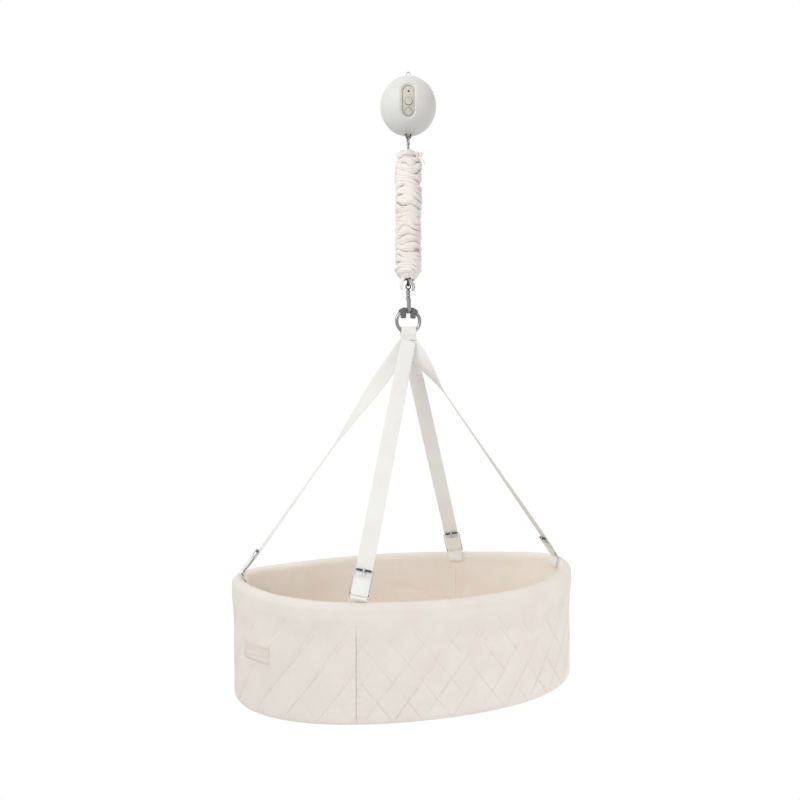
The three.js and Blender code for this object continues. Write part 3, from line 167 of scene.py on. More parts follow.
# A pale floor that keeps the shadow below the basket and fades to white away from it
def addFloor():
    mesh = bpy.data.meshes.new("floor")
    radius, tone = room["floorRadius"], room["floorTone"]
    ring = [(radius * math.cos(a), radius * math.sin(a), room["floorZ"]) for a in circle(48)]
    mesh.from_pydata(ring, [], [tuple(range(len(ring)))])
    floor = bpy.data.objects.new("floor", mesh)
    scene.collection.objects.link(floor)
    material, tree, shader = newMaterial("paleFloor")
    plug(tree, shader, {"Base Color": (tone, tone, tone, 1), "Roughness": 0.9})
    place = addNode(tree, "ShaderNodeTexCoord").outputs["Object"]
    away = vectorMaths(tree, "LENGTH", vectorMaths(tree, "MULTIPLY", place, (1, 1, 0)), output="Value")
    fade = maths(tree, "MULTIPLY", ramp(tree, away, room["fadeFrom"], room["fadeTo"]), backdropNodes(tree))
    white = addNode(tree, "ShaderNodeEmission", {"Color": (1, 1, 1, 1), "Strength": 1.0}).outputs[0]
    mix = addNode(tree, "ShaderNodeMixShader", {0: fade, 1: shader.outputs[0], 2: white}).outputs[0]
    plug(tree, tree.nodes["Material Output"], {"Surface": mix})
    mesh.materials.append(material)


setWorld()
addFloor()
print("camera, lamps and floor done")

# Hard finishes: broad patches change tone and gloss a little, and a fine grain is pressed into the surface
hardKinds = {
    "plastic": {"metallic": 0, "patch": 18.0, "patchDetail": 3.0, "tone": (0.3, 0.7), "dark": 0.95,
                "gloss": (0.2, 0.8), "smoother": -0.05, "rougher": 0.07, "grain": 2200.0, "press": 0.02,
                "depth": 0.2 * mm},
    "metal": {"metallic": 1, "patch": 160.0, "patchDetail": 4.0, "tone": (0.35, 0.7), "dark": 0.96,
              "gloss": (0.3, 0.75), "smoother": 0, "rougher": 0.08, "grain": 1500.0, "press": 0.03,
              "depth": 0.1 * mm},
}
hardKinds["rubber"] = dict(hardKinds["plastic"], press=0.06)


def hard(kind, name, colour, roughness, brushed=0.0):
    size = hardKinds[kind]
    material, tree, shader = newMaterial(name)
    place = addNode(tree, "ShaderNodeTexCoord").outputs["Object"]
    patch = cloud(tree, place, size["patch"], size["patchDetail"])
    grain = cloud(tree, place, size["grain"], 2.0)
    least, most = roughness + size["smoother"], roughness + size["rougher"] + brushed
    darker = opaque(colour, size["dark"])
    plug(tree, shader, {
        "Metallic": size["metallic"],
        "Base Color": blendColour(tree, ramp(tree, patch, *size["tone"]), opaque(colour), darker),
        "Roughness": ramp(tree, patch, *size["gloss"], least, most),
        "Normal": relief(tree, grain, size["press"] + brushed, size["depth"]),
    })
    return material


weave = {
    "distortion": 0.6, "press": 0.14, "depth": 0.2 * mm, "roughness": 0.9, "patch": 14.0, "fine": 340.0,
    "fineShare": 0.35, "folds": 45.0, "foldPress": 0.35, "foldDepth": 2 * mm, "sheenRoughness": 0.5,
}


# Woven cloth; extra adds to its colour and its relief
def cloth(name, colour, shade, threads, wrinkle, sheen=0.15, space="UV", extra=None):
    material, tree, shader = newMaterial(name)
    place = addNode(tree, "ShaderNodeTexCoord").outputs[space]
    links = {"Vector": place, "Scale": threads / 6.28, "Distortion": weave["distortion"], "Detail": 1.0}
    across, along = (addNode(tree, "ShaderNodeTexWave", links, bands_direction=d).outputs[1] for d in "XY")
    patch, fine = cloud(tree, place, weave["patch"], 4.0), cloud(tree, place, weave["fine"], 3.0)
    tone = blendColour(tree, ramp(tree, patch, 0.3, 0.7), opaque(colour), opaque(shade))
    fleck = maths(tree, "MULTIPLY", ramp(tree, fine, 0.35, 0.75), weave["fineShare"])
    tone = blendColour(tree, fleck, tone, opaque(shade))
    folds = cloud(tree, place, weave["folds"], 3.0, 0.4)
    normal = relief(tree, folds, weave["foldPress"] * wrinkle, weave["foldDepth"])
    normal = relief(tree, maths(tree, "ADD", across, along), weave["press"], weave["depth"], normal)
    if extra:
        tone, normal = extra(tree, place, colour, tone, normal)
    plug(tree, shader, {"Base Color": tone, "Normal": normal, "Roughness": weave["roughness"],
                        "Sheen Weight": sheen, "Sheen Roughness": weave["sheenRoughness"]})
    return material


# Gathered cloth: painted shade darkens its colour deep in its folds, and that depth is an attribute of the
# mesh
def foldShade(tree, place, colour, tone, normal):
    depth = addNode(tree, "ShaderNodeAttribute", attribute_name="foldDepth").outputs["Fac"]
    # the colour of the painted shade in the deepest folds
    deep = tuple(c * k for c, k in zip(colour, (0.46, 0.41, 0.36))) + (1,)
    return blendColour(tree, ramp(tree, depth, 0.34, 1.0, 0.0, 0.74), tone, deep), normal


# Seams in degrees round the oval, bareAngle in radians, the rest of the quilting in mm
quilt = {
    "columns": 660, "seams": (247, 63), "slope": 1.35, "middle": 120, "start": 36, "height": 2.5, "soft": 9.5,
    "crease": 0.75, "leftWidth": 70, "leftRise": 5, "leftFall": -21, "rightWidth": 61, "rightRise": 36,
    "rightFall": 49, "seamDepth": 2.4, "pucker": 0.55, "coverEnd": 0.56, "lineWidth": 0.9, "lineEdge": 0.1,
    "lineDark": 0.30, "lineTone": 0.72, "lineDepth": 1.1, "faint": 0.35, "seamLine": 0.95,
    "bareAngle": math.radians(209), "bareDepth": 117,
}
quiltLean = quilt["slope"] / math.hypot(1, quilt["slope"])
quiltNoise = {
    "fade": (7.5, 8), "crossFade": (7.5, 21), "ripple": (30, 5), "crossRipple": (30, 6), "wave": (14, 2),
    "fineWave": (42, 12), "gathers": (20, 15),
}  # scale and seed


# Sewn lines of the quilting, fading here and there, on a map in metres along the rim and down the wall
def sewnLines(tree, place, colour, tone, normal):
    calc = lambda operation, *values: maths(tree, operation, *values)
    split = addNode(tree, "ShaderNodeSeparateXYZ", {0: place})
    along, depth = split.outputs[0], split.outputs[1]
    right = calc("GREATER_THAN", along, 0)

    def pick(key):
        left = quilt["left" + key] * mm
        return calc("MULTIPLY_ADD", right, quilt["right" + key] * mm - left, left)

    width = pick("Width")
    below = calc("DIVIDE", calc("SUBTRACT", depth, quilt["middle"] * mm), quilt["slope"])
    lines = []
    for key, operation, seed in (("Rise", "ADD", 0.0), ("Fall", "SUBTRACT", 3.7)):
        way = calc(operation, calc("SUBTRACT", along, pick(key)), below)
        share = calc("FRACT", calc("ADD", calc("DIVIDE", way, width), 100.5))
        near = calc("MULTIPLY", calc("ABSOLUTE", calc("SUBTRACT", share, 0.5)), width)
        line = ramp(tree, calc("MULTIPLY", near, quiltLean), quilt["lineWidth"] * mm, quilt["lineEdge"] * mm)
        moved = vectorMaths(tree, "ADD", place, (seed, seed, 0))
        lines.append(calc("MULTIPLY", line, ramp(tree, cloud(tree, moved, 16.0, 2.0), 0.36, 0.6, 0.12, 1.0)))
    fainter = calc("MULTIPLY_ADD", right, 1 - quilt["faint"], quilt["faint"])
    total = calc("MAXIMUM", lines[0], calc("MULTIPLY", lines[1], fainter))
    quilted = calc("MULTIPLY", ramp(tree, depth, 0.038, 0.056), ramp(tree, depth, 0.236, 0.232))
    nearSeam = ramp(tree, calc("ABSOLUTE", along), 1.5 * mm, 0.4 * mm)
    seam = calc("MULTIPLY", calc("MULTIPLY", nearSeam, ramp(tree, depth, 0.03, 0.06)), quilt["seamLine"])
    total = calc("MAXIMUM", calc("MULTIPLY", total, quilted), seam)
    darker = opaque(colour, quilt["lineTone"])
    tone = blendColour(tree, calc("MULTIPLY", total, quilt["lineDark"]), tone, darker)
    return tone, relief(tree, total, 0.6, quilt["lineDepth"] * mm, normal, invert=True)


finishes = {
    "shell": hard("plastic", "matteShell", (0.80, 0.79, 0.75), 0.5),
    "panel": hard("plastic", "panelPlastic", (0.66, 0.63, 0.55), 0.42),
    "dark": hard("plastic", "darkPlastic", (0.03, 0.03, 0.032), 0.4),
    "rubber": hard("rubber", "stopRubber", (0.15, 0.15, 0.15), 0.75),
    "board": hard("plastic", "boardGreen", (0.02, 0.12, 0.05), 0.45),
    "hoop": hard("plastic", "hoopPlastic", (0.75, 0.75, 0.72), 0.5),
    "chrome": hard("metal", "nickelPlate", (0.28, 0.28, 0.285), 0.16),
    "buckle": hard("metal", "buckleWire", (0.42, 0.42, 0.43), 0.2),
    "steel": hard("metal", "zincSteel", (0.50, 0.50, 0.52), 0.3, 0.05),
    "darkSteel": hard("metal", "springSteel", (0.09, 0.09, 0.092), 0.3, 0.05),
    "sleeve": cloth("sleeveCotton", (0.955, 0.91, 0.86), (0.91, 0.84, 0.78), 1500.0, 0.6, extra=foldShade),
    "webbing": cloth("strapWebbing", (0.93, 0.92, 0.88), (0.89, 0.87, 0.82), 800.0, 0.1, 0.05),
    "greyTape": cloth("greyTape", (0.62, 0.60, 0.56), (0.50, 0.48, 0.45), 900.0, 0.1, 0.05),
    "quilt": cloth("quiltedCotton", (0.90, 0.835, 0.77), (0.865, 0.79, 0.72), 1300.0, 0.8, extra=sewnLines),
    "lining": cloth("liningCotton", (0.96, 0.885, 0.81), (0.93, 0.845, 0.76), 1300.0, 0.9),
    "mattress": cloth("mattressCotton", (0.90, 0.84, 0.775), (0.86, 0.79, 0.72), 1300.0, 0.8, space="Object"),
    "label": cloth("labelSatin", (0.85, 0.765, 0.70), (0.80, 0.71, 0.645), 2200.0, 0.1, 0.3),
    "wood": hard("plastic", "birchBoard", (0.55, 0.38, 0.2), 0.6),
}
print("materials done")

sealed, openEnds = (True, True), (False, False)  # caps at the first and the last ring


def makePiece(name, points, faces, body, finish, corners=None):
    mesh = bpy.data.meshes.new(name)
    mesh.from_pydata([tuple(p) for p in points], [], faces)
    if corners:
        layer = mesh.uv_layers.new(name="UVMap")
        layer.data.foreach_set("uv", [value for corner in corners for value in corner])
    work = bmesh.new()
    work.from_mesh(mesh)
    bmesh.ops.recalc_face_normals(work, faces=work.faces)
    work.to_mesh(mesh)
    work.free()
    mesh.polygons.foreach_set("use_smooth", [True] * len(mesh.polygons))
    mesh.materials.append(finishes[finish])
    piece = bpy.data.objects.new(name, mesh)
    scene.collection.objects.link(piece)
    if body:
        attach(piece, body)
    return piece


# The piece takes the place of a CAD node, which is hidden
def standsFor(piece, node):
    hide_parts(node)
    return piece


def gridFaces(rows, cols, wrap=True, loop=False, uvAt=None, caps=openEnds, first=0):
    faces, corners = [], []
    for i in range(rows if loop else rows - 1):
        for j in range(cols if wrap else cols - 1):
            a, b = i * cols, ((i + 1) % rows) * cols
            c, d = j, (j + 1) % cols
            faces.append((first + a + c, first + b + c, first + b + d, first + a + d))
            if uvAt:
                corners += [uvAt(i, j), uvAt(i + 1, j), uvAt(i + 1, j + 1), uvAt(i, j + 1)]
    for end, row in zip(caps, (0, rows - 1)):
        if end:
            faces.append(tuple(first + row * cols + j for j in range(cols)))
            if uvAt:
                corners += [uvAt(row, j) for j in range(cols)]
    return faces, corners


# One mesh from several lists of rings, each given with whether it closes on itself and has caps
def joined(name, parts, body, finish, uvAt=None):
    points, faces, corners = [], [], []
    for rings, loop, caps in parts:
        added, uv = gridFaces(len(rings), len(rings[0]), True, loop, uvAt, caps, len(points))
        points += [point for ring in rings for point in ring]
        faces += added
        corners += uv
    return makePiece(name, points, faces, body, finish, corners)


def gridPiece(name, rings, body, finish, loop=False, caps=openEnds, uvAt=None):
    return joined(name, [(rings, loop, caps)], body, finish, uvAt)


def solid(rings):
    return rings, False, sealed


def hoop(rings):
    return rings, True, openEnds


def squareTo(direction, line):
    return (direction - line * direction.dot(line)).normalized()


def headingAt(points, i, closed=False):
    last = len(points) - 1
    if closed:
        return (points[(i + 1) % len(points)] - points[i - 1]).normalized()
    return (points[min(i + 1, last)] - points[max(i - 1, 0)]).normalized()


def tubeRings(points, radius, sides=12, closed=False):
    radii = radius if isinstance(radius, list) else [radius] * len(points)
    side = headingAt(points, 0, closed).orthogonal().normalized()
    rings = []
    for i, point in enumerate(points):
        heading = headingAt(points, i, closed)
        side = squareTo(side, heading)
        other = heading.cross(side)
        rings.append([point + (side * math.cos(a) + other * math.sin(a)) * radii[i] for a in circle(sides)])
    return rings


# Rings turned round an axis, for a profile of (radius, height)
def lathe(profile, centre, up, across, sides=32):
    other = up.cross(across)
    return [[centre + up * z + (across * math.cos(a) + other * math.sin(a)) * r for a in circle(sides)]
            for r, z in profile]


def arcPoints(centre, radius, start, end, steps, across, up):
    angles = [start + (end - start) * i / steps for i in range(steps + 1)]
    return [centre + across * (radius * math.cos(a)) + up * (radius * math.sin(a)) for a in angles]


# Rings of a flat strap with rounded edges; a station is a centre, its width's direction and its face's
def ribbonRings(stations, width, thickness):
    half, edge = width / 2 - thickness / 2, thickness / 2
    across = [half * (k / 3 - 1) for k in range(7)]
    bend = [(half + edge * math.sin(a), edge * math.cos(a)) for a in (math.pi * k / 4 for k in (1, 2, 3))]
    shape = [(x, edge) for x in across] + bend
    shape += [(-x, -y) for x, y in shape]
    return [[centre + wide * x + face * y for x, y in shape] for centre, wide, face in stations], shape


def ribbonPiece(name, stations, width, thickness, body, finish):
    rings, shape = ribbonRings(stations, width, thickness)
    lengths = [0.0]
    for before, after in zip(stations, stations[1:]):
        lengths.append(lengths[-1] + (after[0] - before[0]).length)
    uvAt = lambda i, j: (shape[j % len(shape)][0], lengths[i])
    return gridPiece(name, rings, body, finish, caps=sealed, uvAt=uvAt)


# Stations for a ribbon whose width keeps one direction
def pathStations(points, wide):
    stations = []
    for i, point in enumerate(points):
        heading = headingAt(points, i)
        across = squareTo(wide, heading)
        stations.append((point, across, across.cross(heading)))
    return stations


# Points of a closed outline with rounded corners, as shares of its half sizes
def softSquare(sides, power):
    bend = lambda v: math.copysign(abs(v) ** (2 / power), v)
    angles = [fullTurn * (k + 0.5) / sides for k in range(sides)]
    return [(bend(math.cos(a)), bend(math.sin(a))) for a in angles]


# Rings through stations of (centre, half size along a, half size along b), with a and b fixed
def softBody(stations, a, b, sides, power):
    outline = softSquare(sides, power)
    return [[centre + a * (x * wide) + b * (y * deep) for x, y in outline] for centre, wide, deep in stations]


def smoothstep(value, low, high):
    share = min(max((value - low) / (high - low), 0), 1)
    return share * share * (3 - 2 * share)


def scaled(pairs):
    return [(a * mm, b * mm) for a, b in pairs]


motor = {
    "centre": Vector((0, 0, -78 * mm)), "radius": 64.5 * mm, "yaw": math.radians(-12.8), "seam": 0.15 * mm,
    "panelElevation": math.radians(-10.7), "panelWidth": 38 * mm, "panelHeight": 77 * mm, "recess": 5 * mm,
    "lip": 1.2 * mm, "draft": 4.5 * mm, "wall": 2.5 * mm, "chamfer": 0.5 * mm, "skin": 0.7 * mm,
    "buttons": {"power": math.radians(-13), "mode": math.radians(-33.6)}, "buttonRadius": 8 * mm,
    "buttonProud": 2 * mm, "lens": math.radians(8), "lensRadius": 2.3 * mm, "lensProud": 0.3 * mm,
    "footHole": 7.9 * mm, "footSpread": 9 * mm, "footFrom": -40 * mm,
    # the shift makes the dark-painted groove, painted shade, wider on one side than the other
    "insertShift": Vector((0.4 * mm, 0, -0.3 * mm)),  # the insert sits a little off the middle of its seat
}
# Profiles in mm: how far inward from an edge, or outward from a button, and how high over the surface there
lipProfile = ((0, -0.6), (0.35, -0.1), (0.8, 0), (1.4, -0.15))
grooveProfile = ((0, 0.12), (0.1, -0.9), (0.5, -0.9), (0.55, 0))
# a dark ring round each button, painted shadow of the gap between button and panel
gapShadowProfile = ((0.05, -0.5), (0.05, 0.06), (0.55, 0.06), (0.7, -0.5))
domeProfile = ((1.0, 0.55), (0.985, 0.8), (0.94, 0.95), (0.86, 1), (0.6, 1.01), (0.3, 1.02))  # shares
spin = Matrix.Rotation(motor["yaw"], 3, "Z")


def fromBall(point):
    return spin @ point + motor["centre"]


def radial(elevation):
    return Vector((0, -math.cos(elevation), math.sin(elevation)))


# The panel's outline, two half circles and two straight lines, spaced evenly
def pillOutline(margin, count=128):
    radius = motor["panelWidth"] / 2 - margin
    straight = (motor["panelHeight"] - motor["panelWidth"]) / 2
    half = count // 2
    arcSteps = int(half * (math.pi * radius / (math.pi * radius + 2 * straight)))
    lineSteps = half - arcSteps
    points = []
    for side in (1, -1):
        for angle in (math.pi * i / arcSteps for i in range(arcSteps)):
            points.append((side * radius * math.cos(angle), side * (straight + radius * math.sin(angle))))
        for i in range(lineSteps):
            points.append((-side * radius, side * (straight - 2 * straight * i / lineSteps)))
    return points


def pillRing(margin, radius):
    outward = radial(motor["panelElevation"])
    up = outward.cross(axisX)
    return [axisX * u + up * v + outward * math.sqrt(max(radius ** 2 - u * u - v * v, 0))
            for u, v in pillOutline(margin)]


def slerp(a, b, share):
    angle = a.angle(b)
    return (a * math.sin((1 - share) * angle) + b * math.sin(share * angle)) / math.sin(angle)


# Opens a round hole at the foot of the ball, half of it in each shell (side -1 is the front one)
def openFoot(point, side):
    hole = motor["footHole"]
    if point.z > motor["footFrom"] or abs(point.x) >= hole:
        return point
    push = math.sqrt(hole ** 2 - point.x ** 2) * math.exp(-abs(point.y) / motor["footSpread"])
    y = point.y + side * push
    return Vector((point.x, y, -math.sqrt(point.length_squared - point.x ** 2 - y ** 2)))


def shellPiece(name, node, rings, side, caps=openEnds):
    placed = [[fromBall(openFoot(p, side)) for p in ring] for ring in rings]
    standsFor(gridPiece(name, placed, "motor_unit", "shell", caps=caps), node)


def motorShells(steps=26, rows=34, cols=96):
    radius, wall, chamfer = motor["radius"], motor["wall"], motor["chamfer"]
    edge = [v.normalized() for v in pillRing(-clearance, radius)]
    seam = [Vector((u, 0, v)).normalized() for u, v in pillOutline(0)]
    gap = axisY * motor["seam"]
    rings = [[v * (radius - inside) for v in edge] for inside in (wall, motor["skin"])]
    for i in range(steps + 1):
        share = 0.012 + 0.986 * i / steps
        rings.append([slerp(a, b, share) * radius for a, b in zip(edge, seam)])
    rings += [[v * (radius - inside) - gap for v in seam] for inside in (chamfer, wall)]
    shellPiece("shellFront", "shell_front", rings, -1)
    back = []
    for polar in (math.pi / 2 * (1 - i / rows) for i in range(rows)):
        y, out = math.cos(polar), math.sin(polar)
        back.append([Vector((math.cos(a) * out, y, math.sin(a) * out)) * radius for a in circle(cols)])
    lead = [[p * ((radius - inside) / radius) + gap for p in back[0]] for inside in (wall, chamfer)]
    lead.append([p + axisY * motor["skin"] for p in back[0]])
    shellPiece("shellRear", "shell_rear", lead + back[1:], 1, (False, True))


# Rounded lip, sloping wall, groove and flat insert, from the outside in; the groove is coloured dark, painted
# shade of the gap round the insert
def controlPanel():
    radius, recess, lip, draft = motor["radius"], motor["recess"], motor["lip"], motor["draft"]
    inner, flat = lip + draft, radius - recess
    rows = [(0, radius - motor["wall"])] + [(a, radius + b) for a, b in scaled(lipProfile)]
    for share in (i / 8 for i in range(1, 8)):
        rows.append((lip + draft * share, radius - 0.3 * mm - (recess - 0.5 * mm) * share))
    rows += [(inner + a, flat + b) for a, b in scaled(grooveProfile)]
    insert = motor["panelWidth"] / 2 - inner - 1.2 * mm
    rows += [(inner + 0.8 * mm + insert * i / 9.2, flat) for i in range(1, 10)]
    rings = [[fromBall(p) for p in pillRing(margin, r)] for margin, r in rows]
    rings = [[p + motor["insertShift"] if i > 13 else p for p in ring] for i, ring in enumerate(rings)]
    panel = gridPiece("controlPanel", rings, "motor_unit", "shell", caps=(False, True))
    for finish in ("panel", "dark"):
        panel.data.materials.append(finishes[finish])
    for k, face in enumerate(panel.data.polygons):
        row = k // len(rings[0])
        # the groove's faces take the dark finish: painted shade in the gap
        face.material_index = 0 if row < 12 else 2 if row < 15 else 1
    standsFor(panel, "control_panel")


def onBall(elevation, profile, sides):
    return lathe(profile, motor["centre"], spin @ radial(elevation), spin @ axisX, sides)


def domePiece(name, node, slot, elevation, radius, height, body, finish):
    base = motor["radius"] - motor["recess"]
    profile = [(radius, base - 3 * mm)]
    profile += [(radius * share, base + height * rise) for share, rise in domeProfile]
    standsFor(gridPiece(name, onBall(elevation, profile, 40), body, finish, caps=sealed), node)


def motorBall():
    motorShells()
    controlPanel()
    radius, base = motor["buttonRadius"], motor["radius"] - motor["recess"]
    gap = [(radius + a, base + b) for a, b in scaled(gapShadowProfile)]
    for name, elevation in motor["buttons"].items():
        node = name + "_button"
        domePiece(name + "Button", node, "panel", elevation, radius, motor["buttonProud"], node, "panel")
        # a dark ring just over the floor round each button: painted shadow of its gap
        gridPiece(name + "ButtonGapShadow", onBall(elevation, gap, 48), "motor_unit", "dark", loop=True)
    lens = motor["lens"], motor["lensRadius"], motor["lensProud"]
    domePiece("indicatorLens", "indicator_lens", "lens", *lens, "motor_unit", "dark")


motorBall()
print("motor ball done")

wire = {
    "eyeWire": 1.5 * mm, "eyeHalf": 4.2 * mm, "eyeTop": -2.7 * mm, "eyeLow": -8.6 * mm,
    "shoulderZ": -13.2 * mm,
    "shoulder": ((3, -28), (3, -0.2), (6.3, 0), (6.5, 0.4), (6.2, 0.9), (4.6, 1.9), (3.4, 2.6), (2.4, 3.2)),
    "liftWire": 1.5 * mm, "liftHalf": 5.5 * mm, "liftBend": -146 * mm, "liftTop": -140 * mm,
    "ballBottom": -142.5 * mm, "plunger": ((5.4, 0.9), (6.2, 1.5), (6.4, 2.2), (6.4, 28)),
}


def ceilingEye():
    across, path = spin @ axisX, []
    for z, start in ((wire["eyeTop"], 0), (wire["eyeLow"], math.pi)):
        path += arcPoints(Vector((0, 0, z)), wire["eyeHalf"], start, start + math.pi, 16, across, axisZ)
    loop = tubeRings(path, wire["eyeWire"], 14, closed=True)
    shoulder = lathe(scaled(wire["shoulder"]), Vector((0, 0, wire["shoulderZ"])), axisZ, across)
    eye = joined("ceilingEye", [hoop(loop), solid(shoulder)], "motor_unit", "steel")
    standsFor(eye, "ceiling_eye")


def liftEye():
    bend = arcPoints(Vector((0, 0, wire["liftBend"])), wire["liftHalf"], math.pi, fullTurn, 20, axisX, axisZ)
    left, right = (Vector((side * wire["liftHalf"], 0, wire["liftTop"])) for side in (-1, 1))
    loop = tubeRings([left] + bend + [right], wire["liftWire"], 14)
    stem = lathe(scaled(wire["plunger"]), Vector((0, 0, wire["ballBottom"])), axisZ, axisX)
    for name, rings, finish in (("liftEye", loop, "darkSteel"), ("liftPlunger", stem, "shell")):
        standsFor(gridPiece(name, rings, "lift_eye", finish, caps=sealed), "lift_eye")


ceilingEye()
liftEye()

harness = {
    "ringTop": -545.875 * mm, "ringRadius": 27.2 * mm, "ringWire": 4 * mm, "crownDrop": 20 * mm,
    "webWidth": 35 * mm, "webThickness": 1.8 * mm, "height": 556.3 * mm, "hangInset": 24 * mm,
    "hangHeight": 6 * mm, "faceShift": 3.5 * mm, "buckleHeight": 55 * mm, "buckleWire": 1.2 * mm,
    "buckleCorner": 2.2 * mm, "rollerRadius": 2.2 * mm, "rollerLength": 31 * mm, "middleBar": 7.5 * mm,
    "foldLength": 42 * mm, "prongWall": 0.8 * mm, "prongLength": 8 * mm, "prongWidth": 3.6 * mm,
}
ringCentre = Vector((0, 0, harness["ringTop"] - harness["ringRadius"]))
ringBottom = ringCentre.z - harness["ringRadius"]
rimZ = ringBottom - harness["height"]
crownBottom = ringBottom + harness["ringWire"] - harness["crownDrop"]
halfWeb = harness["webThickness"] / 2
barWrap = harness["buckleWire"] + clearance + halfWeb  # from a bar's middle to the webbing's, going round it
basket = {
    "halfLength": 394 * mm, "halfWidth": 218 * mm, "height": 238 * mm, "taper": 5 * mm, "rimRise": 18 * mm,
    "roll": 14 * mm, "wallInset": 5 * mm, "bow": 2.5 * mm, "squareness": 6 * mm, "footBend": 10 * mm,
    "footInset": 6 * mm,
}


# A point at an angle round the oval, inset from it and below the rim, which lies higher at both ends
def wallPoint(angle, inset, depth):
    rise = basket["rimRise"] * math.cos(angle) ** 4 * max(0, 1 - max(depth, 0) / basket["height"])
    x, y = (basket["halfLength"] - inset) * math.cos(angle), (basket["halfWidth"] - inset) * math.sin(angle)
    return Vector((x, y, rimZ - depth + rise))


def tangentLength(angle):
    return math.hypot(basket["halfLength"] * math.sin(angle), basket["halfWidth"] * math.cos(angle))


# The turn is its share in the first stretch, and where that stretch starts and stops on the way down
def strapEnd(angle, layer, face, turn):
    tangent = Vector((-basket["halfLength"] * math.sin(angle), basket["halfWidth"] * math.cos(angle), 0))
    tangent.normalize()
    top = Vector((0, layer * (harness["webThickness"] + 2 * clearance), crownBottom - clearance))
    hang = wallPoint(angle, harness["hangInset"], -harness["hangHeight"])
    up = (top - hang).normalized()
    wide = squareTo(tangent, up) * face
    facing = wide.cross(up)
    return {"angle": angle, "top": top, "up": up, "wide": wide, "facing": facing, "turn": turn,
            "low": hang + facing * harness["faceShift"], "tangent": tangent, "outward": tangent.cross(axisZ)}


ends = {
    "front": strapEnd(math.radians(quilt["seams"][0]), -1.5, 1, (1, 0.1, 0.82)),
    "left": strapEnd(math.pi, -0.5, 1, (1.05, 0, 0.56)),
    "right": strapEnd(0, 0.5, -1, (1.13, 0, 0.27)),
    "back": strapEnd(math.radians(quilt["seams"][1]), 1.5, -1, (1, 0.1, 0.82)),
}


# A place on a strap's end: across its width, up along it and out of its face
def endPoint(end, across, height, outward=0.0):
    return end["low"] + end["wide"] * across + end["up"] * height + end["facing"] * outward


# Down from the crown while it turns, behind the roller, round the middle bar and up again in front
def strapStations(end, steps=72):
    wide, facing, middle, tall = end["wide"], end["facing"], harness["middleBar"], harness["buckleHeight"]
    behind = harness["rollerRadius"] + 2 * clearance + harness["prongWall"] + halfWeb
    knee = endPoint(end, 0, tall + 3 * harness["rollerRadius"], -behind)
    line = (end["top"] - knee).normalized()
    first, last = squareTo(-axisY, line), squareTo(facing, line)
    turn = math.atan2(first.cross(last).dot(line), first.dot(last))
    early, start, stop = end["turn"]
    stations = []
    for share in (i / steps for i in range(steps + 1)):
        face = first.copy()
        part = early * smoothstep(share, start, stop) + (1 - early) * smoothstep(share, stop, 1)
        face.rotate(Matrix.Rotation(turn * part, 3, line))
        stations.append((end["top"].lerp(knee, share), line.cross(face), face))
    for share in (1, 0.75, 0.5, 0.25):
        outward = -behind + (behind - barWrap) * (1 - share)
        stations.append((endPoint(end, 0, middle + (tall - middle) * share, outward), wide, facing))
    for angle in (math.pi + math.pi * k / 10 for k in range(11)):
        normal = facing * -math.cos(angle) + end["up"] * -math.sin(angle)
        stations.append((endPoint(end, 0, middle) - normal * barWrap, wide, normal))
    for share in (0.2, 0.45, 0.7, 1.0):
        height = middle + (harness["foldLength"] - middle) * share
        outward = barWrap + (clearance - barWrap) * smoothstep(share, 0, 0.6)
        stations.append((endPoint(end, 0, height, outward), wide, -facing))
    return stations


def straps():
    for name, end in ends.items():
        node = "strap_" + name
        piece = ribbonPiece(node, strapStations(end), harness["webWidth"], 2 * halfWeb, "basket", "webbing")
        standsFor(piece, node)


def buckles():
    corner, radius, tall = harness["buckleCorner"], harness["rollerRadius"], harness["buckleHeight"]
    half = harness["webWidth"] / 2 + corner
    for name, end in ends.items():
        path = []
        for side, top, quarters in ((1, 0, -1), (1, 1, 0), (-1, 1, 1), (-1, 0, 2)):
            centre = endPoint(end, side * (half - corner), corner + top * (tall - 2 * corner))
            start = quarters * math.pi / 2
            path += arcPoints(centre, corner, start, start + math.pi / 2, 6, end["wide"], end["up"])
        outline = hoop(tubeRings(path, harness["buckleWire"] * 0.8, 12, closed=True))
        middle = [endPoint(end, half * (k / 4 - 1), harness["middleBar"]) for k in range(9)]
        roller = [endPoint(end, harness["rollerLength"] * (k / 8 - 0.5), tall) for k in range(9)]
        radii = [radius * 0.8] + [radius] * 7 + [radius * 0.8]
        bars = [solid(tubeRings(roller, radii, 16)), solid(tubeRings(middle, harness["buckleWire"], 12))]
        for kind, parts, finish in (("buckleBar_", bars, "darkSteel"), ("buckle_", [outline], "buckle")):
            standsFor(joined(kind + name, parts, "basket", finish), "buckle_" + name)


straps()
buckles()
print("straps and buckles done")

# Sizes in mm
hooks = {
    "upper": {"inner": 5, "bar": 4, "thick": 5, "reach": 9, "fork": 5.5, "neck": 9.8, "nose": 1,
              "neckTop": 4.5, "neckEnd": 2.8, "bowZ": -154.8},
    "lower": {"inner": 5.5, "bar": 5.5, "thick": 8, "reach": 22, "fork": 8, "neck": 12, "nose": 4.5,
              "neckTop": 5.8, "neckEnd": 5.0, "bowZ": -545.0},
}
sameOnBoth = {
    "pivotDrop": 2.6, "neckStart": 1.2, "forkStart": 1, "gateGap": 0.35, "gateHalf": 1.3, "pinProud": 0.35,
}
pinHead = ((0.9, 0.7), (1.35, 0.55), (1.25, 0.15), (0.55, 0))  # radius, and how far inside the pin's end


